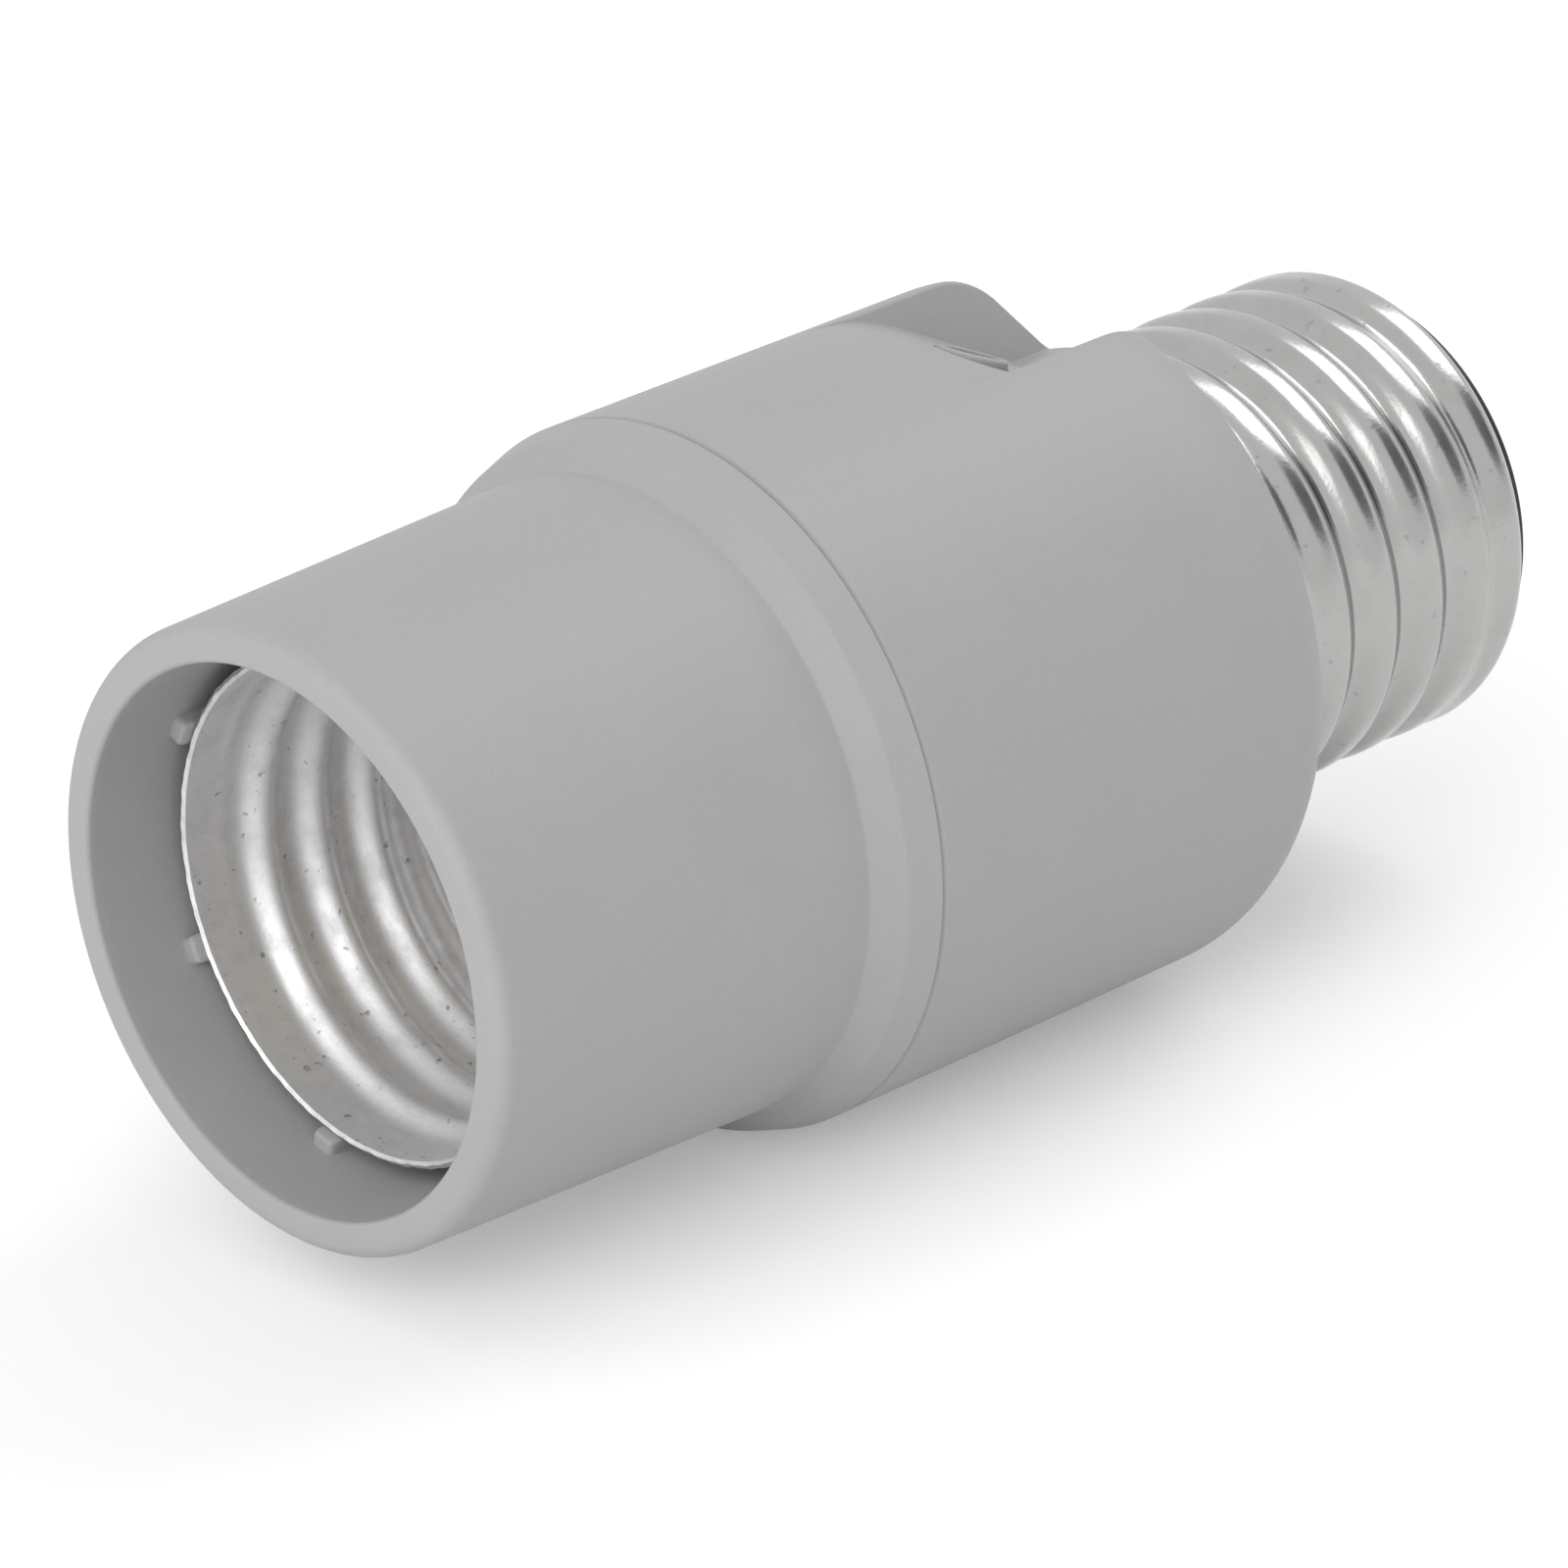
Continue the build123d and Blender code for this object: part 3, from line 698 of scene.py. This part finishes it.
def notch_angles():
    """Angles of one turn, crowded along the notch's two walls."""
    s = sizes()
    quarter = np.linspace(0.0, np.pi / 2.0, 9)
    half = s.notch_angle / 2.0
    inner = s.notch_wall / (s.drum_radius - s.notch_depth)
    near = []
    for wall in (half, half + inner):
        near += [wall - HAIR / s.drum_radius, wall + HAIR / s.drum_radius]
        near += list(wall - s.notch_fillet / s.drum_radius * (1.0 - np.sin(quarter)))
        near += list(wall + s.notch_edge / s.drum_radius * (1.0 - np.cos(quarter)))
    one_side = np.concatenate([np.linspace(0.0, np.pi, AROUND // 2 + 1), near])
    both = np.concatenate([one_side, -one_side])
    both = np.sort(np.where(both <= -np.pi, np.pi, both))
    keep = np.concatenate([[True], np.diff(both) > HAIR / (2.0 * s.drum_radius)])
    return both[keep]


def sensor_axes():
    """Middle of the bezel on the ramp, and its three directions: across, along the ring, outwards."""
    s = sizes()
    middle = np.array([s.bezel_setback - s.notch_length, 0.0, s.drum_radius - s.bezel_drop])
    outwards = np.array([np.sin(s.bezel_tilt), 0.0, np.cos(s.bezel_tilt)])
    across = np.array([0.0, 1.0, 0.0])
    return middle, np.array([across, np.cross(outwards, across), outwards])


def about_sensor(outline, count=SMALL_AROUND):
    """An outline of (height, radius) points carried round the sensor's own axis."""
    middle, axes = sensor_axes()
    angle = full_turn(count)[None, :]
    height, radius = outline[:, :1], outline[:, 1:]
    local = np.stack(np.broadcast_arrays(radius * np.cos(angle), radius * np.sin(angle), height), axis=-1)
    return local @ axes + middle


class LAMPSOCKET_OT_rear_housing(Operator):
    """Drum with its sensor notch, its ring and the boss that carries the screw base"""

    bl_idname = "lampsocket.rear_housing"
    bl_label = "Rear Housing"

    def execute(self, context):
        s = sizes()
        seam, cavity = DRUM_LOW.x, s.drum_radius - s.drum_wall
        slope = np.tan(s.rear_slope)
        cone = (s.rear_ring - s.drum_radius) / slope
        before = -1.4 * s.notch_length
        front = rounded([
            (seam, cavity, 0.0),
            (seam, s.drum_radius - s.seam_break, 0.0),
            (seam + s.seam_break, s.drum_radius, 0.0),
            (before, s.drum_radius, 0.0),
        ], closed=False)
        rear = rounded([
            (before, s.drum_radius, 0.0),
            (cone, s.drum_radius, s.rear_round),
            (0.0, s.rear_ring, 0.0),
        ], step=FINE_STEP, closed=False)
        outer = np.concatenate([front[:-1], rear])
        boss = np.array([
            (0.0, s.boss_radius), (DRUM_HIGH.x, s.boss_radius), (DRUM_HIGH.x, s.boss_bore),
            (-s.rear_wall, s.boss_bore),
        ])
        inner_cone = s.drum_radius - s.drum_wall / np.cos(s.rear_slope)
        inner = rounded([
            (-s.rear_wall, inner_cone + (s.rear_wall + cone) * slope, 0.0),
            (cone - (cavity - inner_cone) / slope, cavity, 0.0),
            (seam + HAIR, cavity, 0.0),
        ], step=FINE_STEP * 4.0, closed=False)[:-1]
        angle = notch_angles()[None, :]
        grid = np.concatenate([
            on_axis(outer[:, :1], notched(outer[:, :1], outer[:, 1:], angle, 0.0), angle),
            on_axis(boss[:, :1], boss[:, 1:], angle),
            on_axis(inner[:, :1], notched(inner[:, :1], inner[:, 1:], angle, s.notch_wall), angle),
        ])
        ring = rounded([
            (-s.window_ledge, s.bezel_hole, 0.0),
            (s.bezel_height, s.bezel_hole, s.bezel_height / 5.0),
            (s.bezel_height, s.bezel_radius, s.bezel_height / 1.9),
            (-s.window_ledge, s.bezel_radius, 0.0),
        ], step=FINE_STEP)
        piece = add_piece(
            "drum", [closed_ring(grid)], grey_plastic(), nodes=("rear_housing",)
        )
        reach = s.notch_wall * 3.0
        seat = s.bezel_radius + s.bezel_gap
        drill = np.array([(-reach, 0.0), (-reach, seat), (reach, seat), (reach, 0.0)])
        cut(piece, closed_solid(about_sensor(drill)))
        add_piece("sensor_ring", [closed_ring(about_sensor(ring))], grey_plastic())
        return {"FINISHED"}


class LAMPSOCKET_OT_socket_sleeve(Operator):
    """Front sleeve with its collar, partition, spigot and the ribs that grip the shell's lip"""

    bl_idname = "lampsocket.socket_sleeve"
    bl_label = "Socket Sleeve"

    def execute(self, context):
        s = sizes()
        seam = DRUM_LOW.x
        collar = seam - s.collar_rim
        root = collar - s.collar_chamfer
        rear = seam - s.partition_setback
        front = rear - s.partition_thickness
        spigot = s.drum_radius - s.drum_wall - (s.drum_wall - s.spigot_wall)
        outline = rounded([
            (front, 0.0, 0.0),
            (front, s.root_bore, MOULD_ROUND),
            (SLEEVE_LOW.x, s.mouth_bore, MOULD_ROUND),
            (SLEEVE_LOW.x, s.mouth_radius, s.lip_round),
            (root, s.root_radius, MOULD_ROUND),
            (collar, s.collar_radius, COLLAR_ROUND),
            (seam - s.seam_break, s.drum_radius, 0.0),
            (seam, s.drum_radius - s.seam_break, 0.0),
            (seam, spigot, 0.0),
            (SLEEVE_HIGH.x, spigot, 0.0),
            (SLEEVE_HIGH.x, spigot - s.spigot_wall, 0.0),
            (rear, spigot - s.spigot_wall, 0.0),
            (rear, 0.0, 0.0),
        ], closed=False)
        shells = [closed_solid(lathe(outline))]
        rib_low = s.socket_major + s.socket_sheet + RIB_PLAY
        rib_high = s.mouth_bore + RIB_BITE
        for number in range(s.rib_count):
            angle = s.rib_start + number * 2.0 * np.pi / s.rib_count
            out = on_axis(0.0, 1.0, angle)
            along = np.array([1.0, 0.0, 0.0])
            place = SHELL_LOW.x - s.rib_lead + s.rib_length / 2.0
            middle = out * (rib_low + rib_high) / 2.0 + along * place
            half = (s.rib_length / 2.0, s.rib_width / 2.0, (rib_high - rib_low) / 2.0)
            shells.append(rounded_block(middle, half, [along, np.cross(out, along), out]))
        piece = add_piece(
            "socket_front", shells[:1], grey_plastic(), nodes=("socket_sleeve",)
        )
        half_width = (STRIP_HIGH.y - STRIP_LOW.y) / 2.0 + SLOT_SIDE_PLAY
        slot_low = -s.strip_leg - SLOT_BELOW
        slot_high = -s.strip_leg + s.strip_sheet / 2.0 + SLOT_ABOVE
        slot_middle = ((front + rear) / 2.0, 0.0, (slot_low + slot_high) / 2.0)
        slot_half = (2.0 * s.partition_thickness, half_width, (slot_high - slot_low) / 2.0)
        cut(piece, rounded_block(slot_middle, slot_half, np.eye(3), sharpness=0.1))
        add_piece("grip_ribs", shells[1:], grey_plastic())
        return {"FINISHED"}


def knuckle(turns, narrow):
    """A rolled thread's wave: one at whole turns, zero between, narrower for a higher power."""
    return (0.5 + 0.5 * np.cos(2.0 * np.pi * turns)) ** narrow


class LAMPSOCKET_OT_base_shell(Operator):
    """Screw base: rolled sheet with a plain neck, a round thread that runs out and an inturned end"""

    bl_idname = "lampsocket.base_shell"
    bl_label = "Base Shell"

    def execute(self, context):
        s = sizes()
        end = BASE_HIGH.x
        line = rounded([
            (0.0, s.base_neck, 0.0),
            (NECK_END, s.base_neck, 0.0),
            (CREST_START, s.base_crest, NECK_ROUND),
            (end, s.base_crest, s.base_end_round),
            (end, s.base_crest - s.base_curl, 0.0),
        ], step=FINE_STEP, closed=False)
        angle = full_turn(THREAD_AROUND)[None, :]
        along, radius = line[:, :1], line[:, 1:]
        # The radius less a wave along a helix, one pitch a turn; the inside is set in along the normals
        strength = smooth_step(*BASE_SWELL, along) * (1.0 - smooth_step(*BASE_RUN_OUT, along))
        turns = (along - s.base_root) / s.thread_pitch - angle / (2.0 * np.pi)
        wave = s.base_depth * strength * knuckle(turns, BASE_NARROW)
        outer = on_axis(along, radius - wave, angle)
        normal = line_normals(line)
        inner = on_axis(
            along - s.base_sheet * normal[:, :1], radius - wave - s.base_sheet * normal[:, 1:], angle
        )
        inner = np.where(inner[..., :1] < 0.0, inner * np.array([0.0, 1.0, 1.0]), inner)
        grid = np.concatenate([outer, inner[::-1]])
        add_piece("base_cap", [closed_ring(grid)], nickel_plate(), nodes=("base_shell",))
        return {"FINISHED"}


class LAMPSOCKET_OT_base_tip(Operator):
    """Black insulator, brass eyelet and solder dome at the base's tip"""

    bl_idname = "lampsocket.base_tip"
    bl_label = "Base Tip"

    def execute(self, context):
        s = sizes()
        shoulder = BASE_HIGH.x - INSULATOR_SEAT
        nose = s.base_crest - s.base_curl - INSULATOR_PLAY
        rim = NOSE_HIGH.x - BASE_HIGH.x
        insulator = rounded([
            (NOSE_LOW.x, INSULATOR_BORE, 0.0),
            (NOSE_LOW.x, NOSE_HIGH.y, 0.0),
            (shoulder, NOSE_HIGH.y, 0.0),
            (shoulder, nose, 0.0),
            (BASE_HIGH.x + s.insulator_rim, nose, INSULATOR_ROUND),
            (NOSE_HIGH.x, INSULATOR_FACE, rim / 3.0),
            (NOSE_HIGH.x, INSULATOR_BORE, 0.0),
        ], step=FINE_STEP)
        add_piece(
            "tip_insulator", [closed_ring(lathe(insulator))], black_insulator(),
            nodes=("base_insulator",),
        )
        eyelet = rounded([
            (EYELET_LOW.x, 0.0, 0.0),
            (EYELET_LOW.x, EYELET_SHANK, 0.0),
            (NOSE_HIGH.x, EYELET_SHANK, 0.0),
            (NOSE_HIGH.x, EYELET_HIGH.y, EYELET_EDGE),
            (EYELET_HIGH.x, EYELET_HIGH.y - EYELET_EDGE, EYELET_ROUND),
            (EYELET_HIGH.x, 0.0, 0.0),
        ], step=FINE_STEP, closed=False)
        add_piece(
            "tip_eyelet", [closed_solid(lathe(eyelet, EYELET_AROUND))], bright_brass(),
            nodes=("base_contact",),
        )
        # A quarter ellipse turned about the axis, its radius made uneven by two sines of the angle
        rise = np.linspace(0.0, np.pi / 2.0, 24)
        height, foot = SOLDER_HIGH.x - SOLDER_LOW.x, SOLDER_HIGH.y
        dome = np.stack([SOLDER_LOW.x + height * np.sin(rise), foot * np.cos(rise)], axis=1)
        dome = np.concatenate([[(SOLDER_LOW.x, 0.0)], dome])
        dome[-1, 1] = 0.0
        grid = lathe(dome, SMALL_AROUND)
        angle = full_turn(SMALL_AROUND)
        uneven = 1.0 - 0.06 * (1.0 + np.sin(2.0 * angle + 0.7)) - 0.03 * (1.0 + np.sin(5.0 * angle))
        grid[..., 1:] *= uneven[None, :, None]
        add_piece(
            "tip_solder", [closed_solid(grid)], soft_solder(), nodes=("contact_solder",)
        )
        return {"FINISHED"}


class LAMPSOCKET_OT_socket_shell(Operator):
    """Socket's screw shell: drawn sheet with a chamfered lip, a rolled thread and an inturned flange"""

    bl_idname = "lampsocket.socket_shell"
    bl_label = "Socket Shell"

    def execute(self, context):
        s = sizes()
        lip, floor = SHELL_LOW.x, SHELL_HIGH.x - s.socket_sheet
        step = lip + s.socket_threads
        line = rounded([
            (lip, s.socket_major + s.socket_lip, 0.0),
            (lip + s.socket_lip, s.socket_major, 0.0),
            (step, s.socket_major, STEP_ROUND),
            (step + s.socket_step, s.socket_foot, STEP_ROUND),
            (floor, s.socket_foot, FLANGE_ROUND),
            (floor, s.socket_foot - s.socket_flange, 0.0),
        ], step=FINE_STEP, closed=False)
        angle = full_turn(THREAD_AROUND)[None, :]
        along, radius = line[:, :1], line[:, 1:]
        # The radius less a wave along a helix, and at the lip less a burr of a few sines of the angle
        first = lip + s.socket_band - BAND_OVERLAP
        strength = smooth_step(first, first + SOCKET_SWELL, along)
        strength = strength * (1.0 - smooth_step(step - SOCKET_RUN_OUT, step, along))
        turns = (along - s.socket_ridge) / s.thread_pitch - angle / (2.0 * np.pi)
        burr = np.sin(37.0 * angle) * np.sin(11.0 * angle + 1.0) + 0.6 * np.sin(83.0 * angle + 2.0)
        at_lip = 1.0 - smooth_step(lip, lip + 2.0 * s.socket_lip, along)
        ragged = BURR_SHARE * s.socket_lip * burr * at_lip
        wave = s.socket_depth * strength * knuckle(turns, SOCKET_NARROW) + ragged
        inner = on_axis(along, radius - wave, angle)
        normal = line_normals(line)
        outer = on_axis(
            along + s.socket_sheet * normal[:, :1], radius - wave + s.socket_sheet * normal[:, 1:], angle
        )
        grid = np.concatenate([inner, outer[::-1]])
        add_piece(
            "socket_cup", [closed_ring(grid)], drawn_aluminium(), nodes=("socket_shell",)
        )
        return {"FINISHED"}


class LAMPSOCKET_OT_contacts(Operator):
    """Springy centre contact and the two rivets of the socket's shell"""

    bl_idname = "lampsocket.contacts"
    bl_label = "Contacts"

    def execute(self, context):
        s = sizes()
        partition = SHELL_HIGH.x
        corner = partition - s.strip_stand
        lean = s.strip_tilt - s.strip_tip_turn
        crown = np.array([corner - s.strip_blade * np.sin(s.strip_tilt),
                          -s.strip_leg + s.strip_blade * np.cos(s.strip_tilt)])
        tip = crown + s.strip_tip * np.array([-np.sin(lean), np.cos(lean)])
        line = rounded([
            (STRIP_HIGH.x, -s.strip_leg, 0.0),
            (corner, -s.strip_leg, s.strip_bend),
            (crown[0], crown[1], s.strip_bend),
            (tip[0], tip[1], 0.0),
        ], step=FINE_STEP, closed=False)
        normal = line_normals(line)
        travelled = np.concatenate([[0.0], np.cumsum(np.linalg.norm(np.diff(line, axis=0), axis=1))])
        left = travelled[-1] - travelled
        half_width = (STRIP_HIGH.y - STRIP_LOW.y) / 2.0
        nose = np.minimum(left / half_width, 1.0)
        width = half_width * np.sqrt(np.maximum(nose * (2.0 - nose), 0.0001))
        # A superellipse carried along the bent line, narrowing to a half circle at the tip
        around = full_turn(STRIP_AROUND)
        across = np.sign(np.cos(around)) * np.abs(np.cos(around)) ** 0.25
        thick = np.sign(np.sin(around)) * np.abs(np.sin(around)) ** 0.5 * s.strip_sheet / 2.0
        grid = np.stack(np.broadcast_arrays(
            line[:, :1] + normal[:, :1] * thick[None, :],
            width[:, None] * across[None, :],
            line[:, 1:] + normal[:, 1:] * thick[None, :],
        ), axis=-1)
        ends = [np.broadcast_to(grid[row].mean(axis=0), grid[row].shape)[None] for row in (0, -1)]
        strip = closed_solid(np.concatenate([ends[0], grid, ends[1]]))
        add_piece(
            "contact_strip", [strip], bright_brass(), body="contact", nodes=("centre_contact",),
        )
        front, rear = partition - s.socket_sheet, partition + s.partition_thickness
        rivet = rounded([
            (front - s.rivet_height, 0.0, 0.0),
            (front - s.rivet_height, s.rivet_head, s.rivet_height * 0.8),
            (front, s.rivet_head, 0.0),
            (front, s.rivet_radius, 0.0),
            (rear, s.rivet_radius, 0.0),
            (rear, s.rivet_head, 0.0),
            (rear + s.rivet_height, s.rivet_head, s.rivet_height * 0.8),
            (rear + s.rivet_height, 0.0, 0.0),
        ], step=FINE_STEP, closed=False)
        shank = lathe(rivet, RIVET_AROUND)
        ring = RIVET_HIGH.y - s.rivet_head
        shells = [closed_solid(shank + np.array([0.0, side * ring, 0.0])) for side in (-1.0, 1.0)]
        add_piece(
            "shell_rivet_pair", shells, drawn_aluminium(), nodes=("shell_rivets",)
        )
        return {"FINISHED"}


class LAMPSOCKET_OT_inner_parts(Operator):
    """Finishes of the board, its parts and the wires, which keep their CAD shapes"""

    bl_idname = "lampsocket.inner_parts"
    bl_label = "Inner Parts"

    def execute(self, context):
        slots = {item["slot"]: item for item in frame["record"]["materials"]}
        replaced = {name for name, node in frame["nodes"].items() if node.hide_render}
        for part in frame["record"]["subparts"]:
            if part["node"] in replaced:
                continue
            slot = slots[part["material_slot"]]
            gloss = 0.28 if slot["class"] == "gloss_plastic" else 0.55
            base = tuple(slot["base_color"][:3])
            if part["node"] == "photocell":
                base = tuple(looks().photocell)
            material = finish(
                part["material_slot"].replace("_", " ") + " finish", moulded_grain(), base, 0.15, 0.00005,
                Roughness=gloss, Mottle=0.12,
            )
            mesh = frame["nodes"][part["node"]].data
            mesh.materials.clear()
            mesh.materials.append(material)
        return {"FINISHED"}


def aim(thing, place, target, roll=0.0):
    """Sets an object's place and turns its -Z to the target, rolled clockwise about that line."""
    back = (Vector(place) - Vector(target)).normalized()
    turned = back.to_track_quat("Z", "Y").to_matrix().to_4x4() @ Matrix.Rotation(-roll, 4, "Z")
    thing.matrix_world = Matrix.Translation(place) @ turned


def add_light(name, place, size, power):
    """A square soft box that looks at the object's middle."""
    lamp = bpy.data.lights.new(name, "AREA")
    lamp.shape = "SQUARE"
    lamp.size = size
    lamp.energy = power
    thing = bpy.data.objects.new(name, lamp)
    bpy.context.scene.collection.objects.link(thing)
    aim(thing, place, (CAD_BOX[0] + CAD_BOX[1]) / 2.0)


class LAMPSOCKET_OT_stage(Operator):
    """Pale floor, soft light and the camera at the photographed view"""

    bl_idname = "lampsocket.stage"
    bl_label = "Stage"

    def execute(self, context):
        look = looks()
        scene = context.scene
        scene.view_settings.view_transform = "Standard"
        self.add_floor(scene)
        self.add_world(scene, look)
        for light in LIGHTS:
            add_light(*light)
        camera = bpy.data.objects.new("camera", bpy.data.cameras.new("camera"))
        scene.collection.objects.link(camera)
        camera.data.lens = look.lens
        camera.data.clip_start, camera.data.clip_end = 0.01, 20.0
        a, e = look.azimuth, look.elevation
        back = Vector((np.sin(a) * np.cos(e), -np.cos(a) * np.cos(e), np.sin(e)))
        aim(camera, Vector(look.target) + back * look.distance, look.target, look.roll)
        scene.camera = camera
        return {"FINISHED"}

    def add_floor(self, scene):
        """A wide disc just under the drum."""
        mesh = bpy.data.meshes.new("floor")
        angle = full_turn(SMALL_AROUND)
        height = np.full(SMALL_AROUND, CAD_BOX[0].z)
        rim = np.stack([FLOOR_RADIUS * np.cos(angle), FLOOR_RADIUS * np.sin(angle), height], axis=1)
        mesh.from_pydata(rim.tolist(), [], [list(range(SMALL_AROUND))])
        mesh.materials.append(white_floor())
        floor = bpy.data.objects.new("floor", mesh)
        scene.collection.objects.link(floor)

    def add_world(self, scene, look):
        """White for the camera; for other rays a soft dome with one dark patch, the room's unlit side."""
        world = bpy.data.worlds.new("studio")
        world.use_nodes = True
        scene.world = world
        tree = world.node_tree
        tree.nodes.clear()
        path = tree.nodes.new("ShaderNodeLightPath")
        direction = tree.nodes.new("ShaderNodeTexCoord").outputs["Generated"]
        facing = tree.nodes.new("ShaderNodeVectorMath")
        facing.operation = "DOT_PRODUCT"
        facing.inputs[1].default_value = Vector(look.dark_side).normalized()
        tree.links.new(direction, facing.inputs[0])
        open_sky = math_node(tree, "SUBTRACT", 1.0, ramp(tree, facing.outputs["Value"], *DARK_EDGE))
        lifted = math_node(tree, "MULTIPLY", mirrored_ray(tree, path), 1.0 - look.dome)
        level = math_node(tree, "ADD", lifted, look.dome)
        dimmed = math_node(tree, "MULTIPLY", level, math_node(tree, "MAXIMUM", open_sky, DARK_LEVEL))
        strength = math_node(tree, "MAXIMUM", dimmed, path.outputs["Is Camera Ray"])
        sky = add_node(tree, "ShaderNodeBackground", Color=(1.0, 1.0, 1.0, 1.0))
        tree.links.new(strength, sky.inputs["Strength"])
        tree.links.new(sky.outputs["Background"], tree.nodes.new("ShaderNodeOutputWorld").inputs["Surface"])


OPERATORS = (
    LAMPSOCKET_OT_rear_housing,
    LAMPSOCKET_OT_socket_sleeve,
    LAMPSOCKET_OT_socket_shell,
    LAMPSOCKET_OT_base_shell,
    LAMPSOCKET_OT_base_tip,
    LAMPSOCKET_OT_contacts,
    LAMPSOCKET_OT_inner_parts,
    LAMPSOCKET_OT_stage,
)


class LAMPSOCKET_PT_panel(Panel):
    """Lists the pieces of the lamp socket"""

    bl_idname = "LAMPSOCKET_PT_panel"
    bl_label = "Lamp Socket"
    bl_space_type = "VIEW_3D"
    bl_region_type = "UI"
    bl_category = "Lamp Socket"

    def draw(self, context):
        for operator in OPERATORS:
            self.layout.operator(operator.bl_idname)
        for group in (context.scene.lamp_socket_sizes, context.scene.lamp_socket_looks):
            box = self.layout.box()
            for name in group.__annotations__:
                box.prop(group, name)


CLASSES = (LampSocketSizes, LampSocketLooks, *OPERATORS, LAMPSOCKET_PT_panel)


def register():
    """Registers the classes and hangs the properties on the scene."""
    for item in CLASSES:
        bpy.utils.register_class(item)
    bpy.types.Scene.lamp_socket_sizes = PointerProperty(type=LampSocketSizes)
    bpy.types.Scene.lamp_socket_looks = PointerProperty(type=LampSocketLooks)


def unregister():
    """Takes the properties and classes away again."""
    del bpy.types.Scene.lamp_socket_looks
    del bpy.types.Scene.lamp_socket_sizes
    for item in reversed(CLASSES):
        bpy.utils.unregister_class(item)


def main():
    """Dresses the frame piece by piece."""
    register()
    for operator in OPERATORS:
        family, name = operator.bl_idname.split(".")
        getattr(getattr(bpy.ops, family), name)()


if __name__ == "__main__":
    main()
